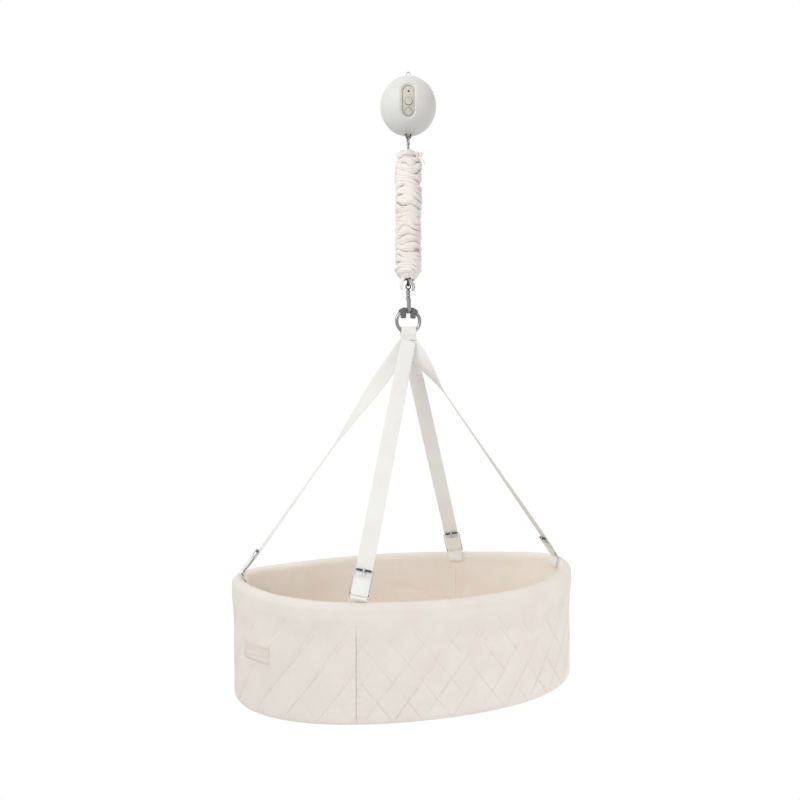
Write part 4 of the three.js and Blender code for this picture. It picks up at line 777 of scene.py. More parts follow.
# Bow, fork and neck of one snap hook, its pin and its gate; sign is 1 where the bow is up
def snapHook(name, sign):
    size = {k: v * mm for k, v in {**hooks[name], **sameOnBoth}.items()}
    body, across, up = name + "_hook", axisY * sign, axisZ * sign
    at = lambda y, z: Vector((0, 0, size["bowZ"])) + across * y + up * z
    half, thick, reach, fork = size["bar"] / 2, size["thick"] / 2, size["reach"], size["fork"]
    radius, neckStart, outline = size["inner"] + half, size["neckStart"], softSquare(20, 2.8)
    path = [at(-radius, -size["nose"])]
    for angle in (math.pi * (1 - k / 28) for k in range(29)):
        path.append(at(radius * math.cos(angle), radius * math.sin(angle)))
    path += [at(radius, -reach * k / 6) for k in range(1, 7)]
    rings = []
    for i, point in enumerate(path):
        side = headingAt(path, i).cross(axisX).normalized()
        tip = min(1.0, 0.72 + 0.09 * i)
        rings.append([point + axisX * (x * thick * tip) + side * (y * half * tip) for x, y in outline])
    neck = reach + fork + size["neck"]
    stations = []
    for share in (k / 18 for k in range(19)):
        z = reach - neckStart + (neck - reach + neckStart) * share
        joint = smoothstep(z, reach - size["forkStart"], reach + fork)
        taper = smoothstep(z, reach + fork * 0.8, neck)
        wide = (radius + half) * (1 - joint) + size["neckTop"] * joint
        stations.append((at(0, -z), wide * (1 - taper) + size["neckEnd"] * taper,
                         thick * (1 - taper) + size["neckEnd"] * taper))
    centre, wide, deep = stations[0]
    stations[0] = (centre, wide * 0.9, deep * 0.86)
    stations.append((at(0, -neck - 0.4 * mm), size["neckEnd"] * 0.86, size["neckEnd"] * 0.86))
    stock = softBody(stations, across, axisX, 28, 3.0)
    standsFor(joined(name + "Hook", [solid(rings), solid(stock)], body, "chrome"), body)
    pinEnd = [(r, thick + size["pinProud"] - inside) for r, inside in scaled(pinHead)]
    profile = [(r, -z) for r, z in pinEnd[::-1]] + pinEnd
    pin = lathe(profile, at(-radius, -reach - size["pivotDrop"]), axisX, axisZ, 20)
    standsFor(gridPiece(name + "HookPin", pin, body, "steel", caps=sealed), body + "_pin")
    top = reach + size["pivotDrop"] + half * 0.9
    stations = []
    for share in (k / 16 for k in range(17)):
        z = -top + (top - size["nose"] - size["gateGap"]) * share
        rounding = min(1.0, math.sqrt(max(1 - (1 - min(share * 6, 1)) ** 2, 0.12)))
        tip = 1 - 0.35 * smoothstep(share, 0.85, 1.0)
        wide, deep = half * 0.94 * rounding * tip, size["gateHalf"] * (0.7 + 0.3 * rounding) * tip
        stations.append((at(-radius, z), wide, deep))
    leaf = softBody(stations, across, axisX, 20, 3.2)
    gate = name + "_gate"
    standsFor(gridPiece(name + "Gate", leaf, gate, "chrome", caps=sealed), gate)


def ringTube(centre, radius, wireRadius, count, sides):
    points = [centre + axisX * (radius * math.cos(a)) + axisZ * (radius * math.sin(a)) for a in circle(count)]
    return tubeRings(points, wireRadius, sides, closed=True)


# Profiles are pairs of radius and height in mm, from the ball's middle and from the top of the lower ring
swivel = {
    "ballZ": -185.122 * mm, "ball": 4.2, "ringZ": -194.5 * mm, "ringRadius": 5.5 * mm, "ringWire": 1.5 * mm,
    "knobTop": ((2.0, 12.022), (2.0, 4.2), (2.5, 3.7)), "knobFoot": ((2.6, -4.0), (1.6, -4.9)),
    "lowerRingZ": -493.12 * mm,
    "stem": ((2.0, -9.402), (2.0, -3.6), (3.0, -3.0), (3.1, -1.6), (2.3, -0.2), (1.4, 0.6)),
}


def swivelAndEye():
    size = swivel
    angles = [0.95 - 0.19 * k for k in range(11)]
    ball = tuple((size["ball"] * math.cos(a), size["ball"] * math.sin(a)) for a in angles)
    profile = scaled(size["knobTop"] + ball + size["knobFoot"])
    knob = lathe(profile, Vector((0, 0, size["ballZ"])), axisZ, axisX, 28)
    foot = Vector((0, 0, size["lowerRingZ"] - size["ringRadius"]))
    stem = lathe(scaled(size["stem"]), foot, axisZ, axisX, 24)
    for name, node, rings, ringZ, body, finish in (
            ("upperSwivel", "upper_swivel", knob, size["ringZ"], "spring_hanger", "chrome"),
            ("lowerEye", "lower_eye", stem, size["lowerRingZ"], "lower_hook", "darkSteel")):
        ring = ringTube(Vector((0, 0, ringZ)), size["ringRadius"], size["ringWire"], 40, 14)
        standsFor(joined(name, [solid(rings), hoop(ring)], body, finish), node)


coil = {
    "wire": 2 * mm, "radius": 16 * mm, "curls": 20, "loop": 7 * mm, "lead": 21 * mm, "top": -196.222 * mm,
    "bottom": -491.422 * mm, "leadTurn": 1.5 * math.pi, "blend": ((0, 0, -0.2035), (0, 0, -0.484)),
}


# End loop, a lead that widens to the coil, the coil, and the same turned round for the lower end
def springPoints():
    radius, loop, lead, leadTurn = coil["radius"], coil["loop"], coil["lead"], coil["leadTurn"]
    topLoop = Vector((0, 0, coil["top"] - loop))
    coilTop, coilBottom = coil["top"] - 2 * loop - lead, coil["bottom"] + 2 * loop + lead
    first = arcPoints(topLoop, loop, math.radians(-20), 1.5 * math.pi, 26, axisY, axisZ)
    for share in ((i + 1) / 24 for i in range(24)):
        angle = math.pi / 2 + leadTurn * share ** 1.5
        z = topLoop.z - loop - lead * share ** 1.3
        first.append(Vector((radius * share * math.cos(angle), radius * share * math.sin(angle), z)))
    start, steps = math.pi / 2 + leadTurn, coil["curls"] * 26
    curls = []
    for share in (i / steps for i in range(1, steps)):
        angle = start + fullTurn * coil["curls"] * share
        z = coilTop + (coilBottom - coilTop) * share
        curls.append(Vector((radius * math.cos(angle), radius * math.sin(angle), z)))
    twist = Matrix.Rotation(2 * start + fullTurn * coil["curls"], 3, "Z")
    last = [twist @ Vector((p.x, -p.y, coilTop + coilBottom - p.z)) for p in first]
    return first + curls + last[::-1]


def coilSpring():
    rings = tubeRings(springPoints(), coil["wire"], 10)
    piece = standsFor(gridPiece("coilSpring", rings, None, "darkSteel", caps=sealed), "coil_spring")
    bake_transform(piece)


# Fold sizes are in mm; the flat size in metres is round the spring, and along it before it was gathered
sleeve = {
    "top": -187.0 * mm, "bottom": -477.1 * mm, "radius": 28.5 * mm, "drawn": -201.0 * mm, "least": 20.6 * mm,
    "most": 33.0 * mm, "skin": 0.9 * mm, "mapStep": 1.1 * mm, "seed": 11, "creases": 60, "fold": 16.0,
    "minorFold": 0.58, "foldDepth": 7.4, "minorDepth": 1.9, "gatherFrom": 0.93, "neck": 21.5, "mouth": 22,
    # the last three on the next line set the painted shade in the folds and on the inner skin
    "flare": 4.2, "columns": 136, "rows": 340, "depthReach": 9, "deepest": 6.5, "insidePaintedShade": 0.6,
    "flat": (0.19, 0.40), "blend": ((0, 0, -0.206), (0, 0, -0.468)),
}
# Each noise: how fast it changes round the sleeve and along it, per mm, and its seed
sleeveNoise = {
    "bend": (0.75, 0.020, 3.1), "strength": (0.9, 0.030, 7.7), "cross": (1.0, 0.028, 12.4),
    "patch": (1.2, 0.04, 17.0), "fine": (3.0, 0.16, 23.0), "pleats": (1.5, 0.05, 31),
    "frill": (2.4, 0.06, 37), "mouth": (1.6, 0.02, 41),
}


# Rounded folds with sharp valleys between them, branching and slanting round the sleeve
def sleeveShape():
    dice, size = random.Random(sleeve["seed"]), sleeve
    angle = np.linspace(0, fullTurn, size["columns"], endpoint=False)[None, :]
    z = np.linspace(size["top"], size["bottom"], size["rows"])[:, None]
    length = size["drawn"] - size["bottom"]
    share = np.clip((size["drawn"] - z) / length, 0, 1)

    def waves(kind):
        turns, along, seed = sleeveNoise[kind]
        ring = [(math.cos(t) * turns, math.sin(t) * turns) for t in angle[0]]
        at = lambda x, y, h: noise.noise(Vector((x, y, h / mm * along)) + Vector((seed, seed, seed)))
        return np.array([[at(x, y, h) for x, y in ring] for h in z[:, 0]])

    low = np.clip((share - size["gatherFrom"]) / (1 - size["gatherFrom"]), 0, 1)
    drawnIn = 1 - 0.17 * np.exp(-share / 0.012) - 0.46 * low ** 1.4
    radius = size["radius"] * drawnIn * np.ones_like(angle)
    main = z / mm / size["fold"] + 1.5 * waves("bend")
    main = main + 0.55 * np.sin(angle + 0.8) + 0.25 * np.sin(2 * angle + z / mm * 0.03)
    strength = np.clip(0.75 + 1.1 * waves("strength"), 0.25, 1.3)
    big = np.abs(np.sin(math.pi * main)) ** 0.55
    cross = z / mm / (size["fold"] * size["minorFold"]) - 1.9 * waves("cross") - 0.75 * np.sin(angle - 1.1)
    minor = np.abs(np.sin(math.pi * cross)) ** 0.6
    patch = np.clip(0.5 + 1.6 * waves("patch"), 0, 1)
    radius = radius + size["foldDepth"] * mm * strength * (big - 0.62)
    radius = radius + size["minorDepth"] * mm * patch * (minor - 0.62)
    radius = radius + (1.0 * np.sin(7 * share * math.pi + 1.3 * np.cos(angle)) + 0.35 * waves("fine")) * mm
    for k in range(size["creases"]):
        at = size["drawn"] - length * ((k + dice.uniform(-0.3, 0.3)) / size["creases"] * 0.95 + 0.02)
        middle = dice.choice([-0.55, -0.5, 3.6, dice.uniform(0, 6.28)]) + dice.uniform(-0.4, 0.4)
        span = dice.uniform(0.35, 1.1)
        tilt, curve = dice.uniform(-4.5, 4.5) * mm, dice.uniform(-2.2, 2.2) * mm
        turn = (angle - middle + math.pi) % fullTurn - math.pi
        line = at + tilt * turn + curve * np.cos(turn * 2.1)
        depth, width = dice.uniform(1.4, 3.2) * mm, dice.uniform(0.7, 1.2) * mm
        radius -= np.exp(-(turn / span) ** 4) * depth * np.exp(-np.abs(z - line) / width)
    radius = np.clip(radius, size["least"], size["most"])
    gathered = size["radius"] * drawnIn * (1 + 0.10 * low * np.sin(13 * angle + 2 * np.sin(3 * angle)))
    radius = radius * (1 - low) + gathered * low
    frill = np.clip((z - size["drawn"]) / (size["top"] - size["drawn"]), 0, 1)
    pleats = np.sin(11 * angle + 2.5 * np.sin(2 * angle) + 3 * waves("pleats")) * (0.9 + 1.9 * frill)
    pleats = pleats + 2.2 * waves("frill") * frill
    mouth = (size["mouth"] + size["flare"] * frill ** 0.7 + pleats * np.minimum(1, frill * 3 + 0.35)) * mm
    radius = np.where(z > size["drawn"], mouth, radius)
    soften = np.clip(1 - np.abs(z - size["drawn"]) / (2 * mm), 0, 1)
    radius = radius * (1 - soften) + size["neck"] * mm * soften
    height = z + frill * (2.2 * np.sin(3 * angle + 1) + 2.6 * waves("mouth")) * mm
    height = np.minimum(height, size["top"] - 0.3 * mm)
    height = height + low * (1.6 * np.sin(4 * angle + 2) + 1.0 * np.sin(11 * angle)) * mm
    return angle[0], radius, height


# Outer and inner skin in one closed mesh, with how deep each point lies between its neighbouring folds; that
# depth paints shade into the folds, and the inner skin gets an even painted shade
def gatheredSleeve():
    angle, radius, height = sleeveShape()
    rows = len(radius)
    lay = lambda i, skin: [Vector((r * math.cos(a), r * math.sin(a), z))
                           for r, a, z in zip(radius[i] - skin, angle, height[i])]
    rings = [lay(i, 0) for i in range(rows)] + [lay(i, sleeve["skin"]) for i in reversed(range(rows))]
    uvAt = lambda i, j: (j * sleeve["mapStep"], i * sleeve["mapStep"])
    piece = gridPiece("springSleeve", rings, None, "sleeve", loop=True, uvAt=uvAt)
    reach = sleeve["depthReach"]
    padded = np.pad(radius, ((reach, reach), (0, 0)), mode="edge")
    crest = np.max([padded[k:k + rows] for k in range(2 * reach + 1)], axis=0)
    # how much painted shade each point gets, less of it near the bottom
    lighter = np.clip((height - sleeve["bottom"] - 14 * mm) / (14 * mm), 0.15, 1)
    deep = (np.clip((crest - radius) / (sleeve["deepest"] * mm), 0, 1) * lighter).ravel()
    layer = piece.data.attributes.new("foldDepth", "FLOAT", "POINT")
    layer.data.foreach_set("value", np.concatenate([deep, np.full(len(deep), sleeve["insidePaintedShade"])]))
    standsFor(piece, "spring_sleeve")
    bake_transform(piece)
    return piece


# Half sizes of a strip's ribbed cross-section
stripTop = [(-1, -0.5), (-0.5, -0.62), (0, -0.5), (0.5, -0.62), (1, -0.5)]


# A narrow cloth strip that twists along its way
def strip(name, points, body, finish, turn, width, thickness, taper=1.0):
    outline = stripTop + [(-x, -y) for x, y in stripTop]
    side, width, thickness = squareTo(axisX, headingAt(points, 0)), width * mm, thickness * mm
    rings = []
    for i, point in enumerate(points):
        heading, share = headingAt(points, i), i / (len(points) - 1)
        side = squareTo(side, heading)
        wide = side.copy()
        wide.rotate(Matrix.Rotation(turn[0] + (turn[1] - turn[0]) * share, 3, heading))
        face = heading.cross(wide)
        half = width / 2 * (1 + (taper - 1) * share)
        curl = 0.10 * width * math.sin(share * 9)
        rings.append([point + wide * (x * half) + face * (y * thickness + curl * x * x) for x, y in outline])
    return gridPiece(name, rings, body, finish, caps=sealed, uvAt=lambda i, j: (j * 0.001, i * 0.0015))


# A smooth curve through the knots
def curvePoints(knots, steps=10):
    points, last = [], len(knots) - 1
    for i in range(last):
        a, b, c, d = knots[max(i - 1, 0)], knots[i], knots[i + 1], knots[min(i + 2, last)]
        for s in (k / steps for k in range(steps)):
            cubic = (3 * b - a - 3 * c + d) * s ** 3
            points.append(0.5 * ((2 * b) + (c - a) * s + (2 * a - 5 * b + 4 * c - d) * s * s + cubic))
    return points + [knots[-1]]


# Strips at the sleeve's two ends, in mm: the bow's two loops and ends, and the tie's tail and the tab below
bow = {"width": 2.6, "thickness": 0.7, "body": "spring_hanger", "finish": "sleeve"}
drawnTie = {"radius": 22.6, "z": -201, "wave": 1.2, "start": -0.9, "points": 70}
ties = {
    "tieLoopHigh": {"turn": (0.3, 1.4), "knots": (
        (13, -20, -201), (17, -22, -196), (24, -22, -190.5), (27.5, -21, -192.5), (24.5, -21.5, -198),
        (17, -22, -201), (13, -20.5, -202))},
    "tieLoopLow": {"turn": (1.2, 0.2), "knots": (
        (13, -20.5, -202), (15, -23, -200), (18, -25, -195), (20.5, -25, -198.5), (18, -24, -204),
        (13.5, -20.5, -203))},
    "tieEndHigh": {"turn": (0.2, 1.8), "knots": (
        (14, -20.5, -202), (21, -23, -199), (27, -23, -194), (31, -22, -190.5))},
    "tieEndLow": {"turn": (0.5, 1.9), "knots": (
        (14, -20.5, -202.5), (20, -24.5, -203), (27, -26, -207), (31.5, -25, -213), (34, -23.5, -217.5))},
    "sleeveTail": {
        "turn": (0.2, 1.3), "width": 7.0, "thickness": 1.3, "taper": 1.15, "body": "lower_hook", "knots": (
            (-15, -9.5, -474), (-17, -11, -482), (-19.5, -11, -490), (-18.5, -10.5, -496),
            (-15.5, -9.5, -502))},
    "sleeveTab": {
        "turn": (0.6, 0.9), "width": 9.5, "thickness": 1.1, "taper": 0.7, "body": "lower_hook",
        "finish": "greyTape", "knots": (
            (2.5, -9.5, -476), (4.5, -11, -484), (8.5, -11.5, -491), (10.5, -11, -497), (8.0, -10, -505))},
}


def sleeveTies():
    size = drawnTie
    angles = [fullTurn * k / 72 + size["start"] for k in range(size["points"])]
    drawn = [Vector((size["radius"] * math.cos(a), size["radius"] * math.sin(a),
                     size["z"] + size["wave"] * math.sin(2 * a))) * mm for a in angles]
    pieces = [strip("drawTie", drawn, turn=(math.pi / 2, math.pi / 2), **bow)]
    for name, changes in ties.items():
        choice = dict(bow, **changes)
        knots = [Vector(knot) * mm for knot in choice.pop("knots")]
        pieces.append(strip(name, curvePoints(knots), **choice))
    standsFor(pieces[-2], "sleeve_tie")
    standsFor(pieces[-1], "sleeve_tab")
    return pieces


def springAndSleeve():
    coilSpring()
    piece = gatheredSleeve()
    sleeveTies()


# Sizes in mm, and the two angles from the ring's top in degrees
stops = {"angles": (13.0, 46.0), "inset": 5.2, "width": 12.3, "depth": 10.0, "drop": 18.0, "wall": 2.3,
         "sink": 1.6, "steps": 14}


# Two rubber stops on the ring: a cuff round the wire and a block hanging from it
def ringAndStops():
    radius, wireRadius, steps = harness["ringRadius"], harness["ringWire"], stops["steps"]
    ring = ringTube(ringCentre, radius, wireRadius, 96, 24)
    standsFor(gridPiece("carrierRing", ring, "basket", "chrome", loop=True), "carrier_ring")
    for name, side in (("Left", -1), ("Right", 1)):
        start, end = (math.pi / 2 - side * math.radians(angle) for angle in stops["angles"])
        walls = {0: 0.35, 1: 0.85, steps - 1: 0.85, steps: 0.35}
        radii = [wireRadius + stops["wall"] * mm * walls.get(k, 1) for k in range(steps + 1)]
        cuff = tubeRings(arcPoints(ringCentre, radius, start, end, steps, axisX, axisZ), radii, 20)
        middle = side * (stops["inset"] + stops["width"] / 2) * mm
        top = harness["ringTop"] - wireRadius + stops["sink"] * mm
        edges = {0: 0.80, 1: 0.94, steps - 1: 0.94, steps: 0.80}
        stations = []
        for k in range(steps + 1):
            full = edges.get(k, 1) * (0.97 if k % 4 == 2 else 1) * mm
            centre = Vector((middle, 0, top - stops["drop"] * mm * k / steps))
            wide, deep = stops["width"] / 2 * full, stops["depth"] / 2 * full * (1 - 0.12 * k / steps)
            stations.append((centre, wide, deep))
        block = softBody(stations, axisX, axisY, 32, 6.0)
        piece = joined("ringStop" + name, [solid(cuff), solid(block)], "basket", "rubber")
        standsFor(piece, "ring_stop_" + name.lower())


crown = {
    "rise": 11.2 * mm, "layer": 1.7 * mm, "stack": 8 * mm, "layerGap": 0.25 * mm, "strapEnd": 0.85 * mm,
    "strapPitch": 0.9 * mm, "steps": 14, "overSteps": 24,
}


# Distance of a crown layer's middle from the ring's, and from the middle plane at the crown's foot
def crownReach(layer):
    reach = harness["ringWire"] + clearance + crown["layer"] * (layer + 0.55) + crown["layerGap"] * layer
    return reach, crown["stack"] / 2 - crown["layer"] * (0.5 + 1.05 * (1 - layer))


# Webbing laid over the ring's lowest wire in two layers, with the four straps' ends sewn between them
def strapCrown():
    parts, steps, overSteps = [], crown["steps"], crown["overSteps"]

    def addLayer(path, width, thickness):
        parts.append(solid(ribbonRings(pathStations(path, axisX), width, thickness)[0]))

    for layer in range(2):
        reach, low = crownReach(layer)
        peak = harness["ringWire"] + crown["rise"] - (2.4 * (1 - layer) + 0.9) * mm
        rising = []
        for share in (k / steps for k in range(steps + 1)):
            y = low + (reach - low) * smoothstep(share, 0.1, 1.0)
            rising.append(Vector((0, y, crownBottom + (ringBottom - crownBottom) * share)))
        path = [Vector((0, -p.y, p.z)) for p in rising]
        for angle in (math.pi * (1 - k / overSteps) for k in range(1, overSteps)):
            path.append(Vector((0, reach * math.cos(angle), ringBottom + peak * math.sin(angle) ** 0.8)))
        addLayer(path + rising[::-1], harness["webWidth"] - 0.3 * mm * (1 - layer), crown["layer"])
    for y in ((k - 1.5) * crown["strapPitch"] for k in range(4)):
        path = [Vector((0, y, crownBottom + 0.4 * mm)), Vector((0, y, crownBottom + 8 * mm)),
                Vector((0, y * 0.8, ringBottom - harness["ringWire"] - 0.6 * mm))]
        addLayer(path, harness["webWidth"] - 0.8 * mm, crown["strapEnd"])
    piece = joined("strapCrown", parts, "basket", "webbing", lambda i, j: (j * 0.0028, i * 0.0016))
    standsFor(piece, "strap_crown")


# A sheet-metal clip round the roller, from shares of its width and radii, and a tooth that tapers downwards
def prongs(steps=14):
    inner, wall = harness["rollerRadius"] + clearance, harness["prongWall"]
    outer, middle = inner + wall, harness["buckleHeight"]
    half, outline = [(0.5, inner), (0.5, inner + wall * 0.8), (0.44, outer)], softSquare(14, 2.6)
    for name, end in ends.items():
        at = lambda across, height, outward: endPoint(end, across, height, outward)
        clip = []
        for x, r in [(-x, r) for x, r in half] + half[::-1]:
            side = harness["prongWidth"] * x
            clip.append([at(side, middle + r * math.sin(a), r * math.cos(a)) for a in circle(24)])
        tooth = []
        for share in (k / steps for k in range(steps + 1)):
            height = middle + outer * 0.2 - (outer * 1.2 + harness["prongLength"]) * share
            outward = (outer - wall * 0.5) * (1 - share ** 2)
            outward += (harness["rollerRadius"] - clearance) * share ** 2 * 0.9
            radius = (1.0 - 0.45 * share ** 1.5) * mm * (0.7 if share == 1 else 1)
            tooth.append([at(radius * 1.25 * x, height, outward + radius * 0.8 * y) for x, y in outline])
        node = "prong_" + name
        standsFor(joined(node, [hoop(clip), solid(tooth)], node, "steel"), node)


rimTab = {"shares": (0.3, 0.55, 0.8, 1), "width": 34.4 * mm, "turnEnd": math.radians(108), "knotSteps": 7}


# Webbing loops sewn on the roll's inner side, which hold the buckles' lower bars
def rimTabs():
    layerGap, roll = (harness["webThickness"] + clearance) / 2, basket["roll"]
    radius = roll + 4 * clearance + harness["webThickness"] + clearance / 2
    for name, end in ends.items():
        low, wide, tangent, outward = end["low"], end["wide"], end["tangent"], end["outward"]
        bend = tangentLength(end["angle"]) ** 3 / (basket["halfLength"] * basket["halfWidth"]) - 2 * roll
        sagitta = harness["webWidth"] ** 2 / (8 * bend)
        axle = wallPoint(end["angle"], roll, 0) - axisZ * roll
        barTurn = math.atan2(-(low - axle).dot(outward), (low - axle).z)
        level = tangent if tangent.dot(wide) > 0 else -tangent
        knots = [low]
        for turn in (barTurn + share * (rimTab["turnEnd"] - barTurn) for share in rimTab["shares"]):
            inward = sagitta + radius * math.sin(turn)
            knots.append(axle - outward * inward + axisZ * (radius * math.cos(turn)))
        route = curvePoints(knots, rimTab["knotSteps"])
        frames = []
        for i, point in enumerate(route):
            heading, knot = headingAt(route, i), i / rimTab["knotSteps"]
            across = squareTo(wide.lerp(level, smoothstep(knot, 0, 1.6)).normalized(), heading)
            normal = heading.cross(across).normalized()
            normal = -normal if normal.dot(outward) > 0 else normal
            frames.append((point, across, normal, barWrap + (layerGap - barWrap) * smoothstep(knot, 0, 0.9)))
        side = frames[0][2]
        back = low - route[1]
        away = (back - side * back.dot(side) - wide * back.dot(wide)).normalized()
        loop = arcPoints(low, barWrap, 0, math.pi, 10, side, away)[1:-1]
        stations = [(p + normal * reach, across, normal) for p, across, normal, reach in frames[::-1]]
        stations += [(p, wide, (p - low).normalized()) for p in loop]
        stations += [(p - normal * reach, across, -normal) for p, across, normal, reach in frames]
        piece = ribbonPiece("rimTab_" + name, stations, rimTab["width"], 2 * halfWeb, "basket", "webbing")
        standsFor(piece, "rim_tab_" + name)


for hookName, hookSign in (("upper", 1), ("lower", -1)):
    snapHook(hookName, hookSign)
swivelAndEye()
ringAndStops()
strapCrown()
prongs()
rimTabs()
print("hooks, ring, crown, prongs and tabs done")
springAndSleeve()
print("spring and sleeve done")


# Columns round the oval at equal steps of its length, with a few more beside each seam
def columnAngles():
    fine = np.linspace(0, fullTurn, 7201)
    speed = np.hypot(basket["halfLength"] * np.sin(fine), basket["halfWidth"] * np.cos(fine))
    length = np.concatenate([[0], np.cumsum((speed[1:] + speed[:-1]) / 2 * (fine[1] - fine[0]))])
    places = np.linspace(0, length[-1], quilt["columns"], endpoint=False)
    seams = [float(np.interp(math.radians(seam), fine, length)) for seam in quilt["seams"]]
    beside = np.array([-4.2, -2.8, -1.7, -0.8, 0, 0.8, 1.7, 2.8, 4.2]) * mm
    for at in seams:
        places = np.concatenate([places[np.abs(places - at) > 5 * mm], at + beside])
    places = np.sort(places)
    return np.interp(places, length, fine), places, float(length[-1]), seams


columns, rimPlaces, rimLength, seamPlaces = columnAngles()
signedFrom = lambda place: (rimPlaces - place + rimLength / 2) % rimLength - rimLength / 2
alongRim = (rimPlaces - seamPlaces[0]) % rimLength  # from the front seam to the right
rightLength = (seamPlaces[1] - seamPlaces[0]) % rimLength
rightPanel = alongRim < rightLength
alongRim = np.where(rightPanel, alongRim, alongRim - rimLength)
seamAway = np.minimum(*(np.abs(signedFrom(place)) for place in seamPlaces)) / mm
bareAway = np.abs(columns - quilt["bareAngle"]) * tangentLength(quilt["bareAngle"]) / mm  # from the label


def smoothArray(value, low, high):
    share = np.clip((value - low) / (high - low), 0, 1)
    return share * share * (3 - 2 * share)


# Smooth noise that closes on itself round the rim
def noiseRing(depth, scale, seed, angles=columns):
    x, y = basket["halfLength"] * np.cos(angles), basket["halfWidth"] * np.sin(angles)
    offset = Vector((seed, seed * 2.3, -seed))
    return np.array([noise.noise(Vector(p) * scale + offset) for p in zip(x, y, -depth * np.ones_like(x))])


# How far the outer cloth stands out of the wall's plane: quilted diamonds, creases and the two seams
def quiltHeight(depth):
    size, s, d = quilt, alongRim / mm, depth / mm
    side = lambda key: np.where(rightPanel, size["right" + key], size["left" + key])
    ring = lambda kind: noiseRing(depth, *quiltNoise[kind])
    width, lower = side("Width"), (d - size["middle"]) / size["slope"]
    ups, downs = (s - side("Rise")) + lower, (s - side("Fall")) - lower
    near = lambda value: np.abs((value / width + 0.5) % 1 - 0.5) * width * quiltLean
    first, second = near(ups), near(downs)
    start = smoothArray(d, size["start"] - 3, size["start"] + 16)
    fade = 0.25 + 0.75 * smoothArray(ring("fade"), -0.35, 0.3)
    other = 0.12 + 0.88 * smoothArray(ring("crossFade"), -0.2, 0.4)
    other = other * np.where(rightPanel, 1, size["faint"])

    def dip(away, strength):
        return 1 - strength * np.exp(-away / size["soft"]) - 0.10 * strength * np.exp(-(away / 1.6) ** 2)

    puff = dip(first, 0.9 * fade) * dip(second, 0.9 * other) * size["height"]
    creases = size["crease"] * (np.exp(-(first / 1.1) ** 2) * fade + np.exp(-(second / 1.1) ** 2) * other)
    ripple = np.sin(ups * 0.62 + 2 * ring("ripple")) * np.exp(-second / 7) * other
    ripple = ripple + np.sin(downs * 0.55 + 2 * ring("crossRipple")) * np.exp(-first / 7) * fade
    wave = 1.2 * ring("wave") + 0.5 * ring("fineWave")
    quilted = puff - creases + size["pucker"] * ripple + 0.6 * wave
    height = (1.6 + wave) * (1 - start) + quilted * start
    under = smoothArray(-bareAway, -50, -32) * smoothArray(-abs(d - size["bareDepth"]), -32, -18)
    height = height * (1 - under) + 3.2 * under
    height = height * (1 - 0.55 * np.exp(-seamAway / 9) * smoothArray(d, 20, 60))
    height = height - size["seamDepth"] * np.exp(-(seamAway / 1.3) ** 2) * smoothArray(d, 24, 70)
    gathers = 0.5 * np.sin(d * 0.5 + 2 * ring("gathers")) * np.exp(-((seamAway - 5) / 5) ** 2)
    return (height + gathers * smoothArray(d, 24, 50)) * mm


def ringAt(inset, depth):
    inset, depth = inset * np.ones_like(columns), depth * np.ones_like(columns)
    x = (basket["halfLength"] - inset) * np.cos(columns)
    y = (basket["halfWidth"] - inset) * np.sin(columns)
    share = np.clip(1 - np.maximum(depth, 0) / basket["height"], 0, 1)
    return np.stack([x, y, rimZ - depth + basket["rimRise"] * np.cos(columns) ** 4 * share], axis=1)


# A row of the wall's outer cloth: rounded at the foot, and fuller at the ends and sides than between them
def clothRow(depth, rise):
    share = depth / basket["height"]
    bend = np.clip(1 - (basket["height"] - depth) / basket["footBend"], 0, 1)
    foot = basket["footInset"] * (1 - np.sqrt(np.clip(1 - bend ** 2.2, 0, 1)))
    square = basket["squareness"] * np.sin(2 * columns) ** 2 * share ** 1.5
    inset = basket["wallInset"] * smoothArray(depth / mm, 10, 84) + basket["bow"] * share + foot - square
    return ringAt(inset - rise, depth)


def rimWave(share, seed=31):
    return (0.9 * noiseRing(share * 0.03, 16, seed) + 0.35 * noiseRing(share * 0.03, 55, seed + 4)) * mm


# A row of the rolled rim; share is 0 at the outer side, 0.5 on top and 1 at the inner side
def rollRow(share, radius):
    turn, reach = math.pi * share, radius + rimWave(share)
    return ringAt(basket["roll"] - reach * math.cos(turn), basket["roll"] - reach * math.sin(turn))


def rollRows(shares, proud):
    return [rollRow(share, basket["roll"] + proud * mm) for share in shares]


# Closed skin through the rings; its map runs along the rim from the front seam, and down the wall
def shellMesh(name, rings, finish, start=(0, 0)):
    cols = len(rings[0])
    points = [tuple(p) for ring in rings for p in ring]
    drop = [0.0]
    for before, after in zip(rings, rings[1:]):
        drop.append(drop[-1] - float(np.linalg.norm(after[0] - before[0])))
    drop = [value - drop[start[0]] + start[1] for value in drop]
    steps = (np.roll(rimPlaces, -1) - rimPlaces) % rimLength
    lows, highs = alongRim.tolist(), (alongRim + steps).tolist()
    faces, corners = gridFaces(len(rings), cols, caps=sealed)[0], []
    for top, bottom in zip(drop, drop[1:]):
        for low, high in zip(lows, highs):
            corners += [(low, top), (low, bottom), (high, bottom), (high, top)]
    for cap in faces[-2:]:
        corners += [points[k][:2] for k in cap]
    return makePiece(name, points, faces, "basket", finish, corners)


# Depths of the rows in mm, from the bottom up, and shares of the roll
wall = {
    "foot": (237.2, 236.2, 233.6, 230.5, 227), "from": 223.5, "to": 14, "step": 2.15, "bottomRise": 222,
    "bottomInsets": ((90, 0), (40, 0), (19, 0.1)),
    "roll": (0.04, 0.1, 0.16, 0.22, 0.28, 0.34, 0.4, 0.46, 0.51),
    "inside": (36, 90, 150, 215), "insideInset": 5.5, "innerRoll": (0.57, 0.3, 0.0), "floor": 3.2,
    "floorInsets": (24, 90), "fill": 0.5,
}
wallRows = {}  # depth in mm to that row of the outer cloth, for the stitches


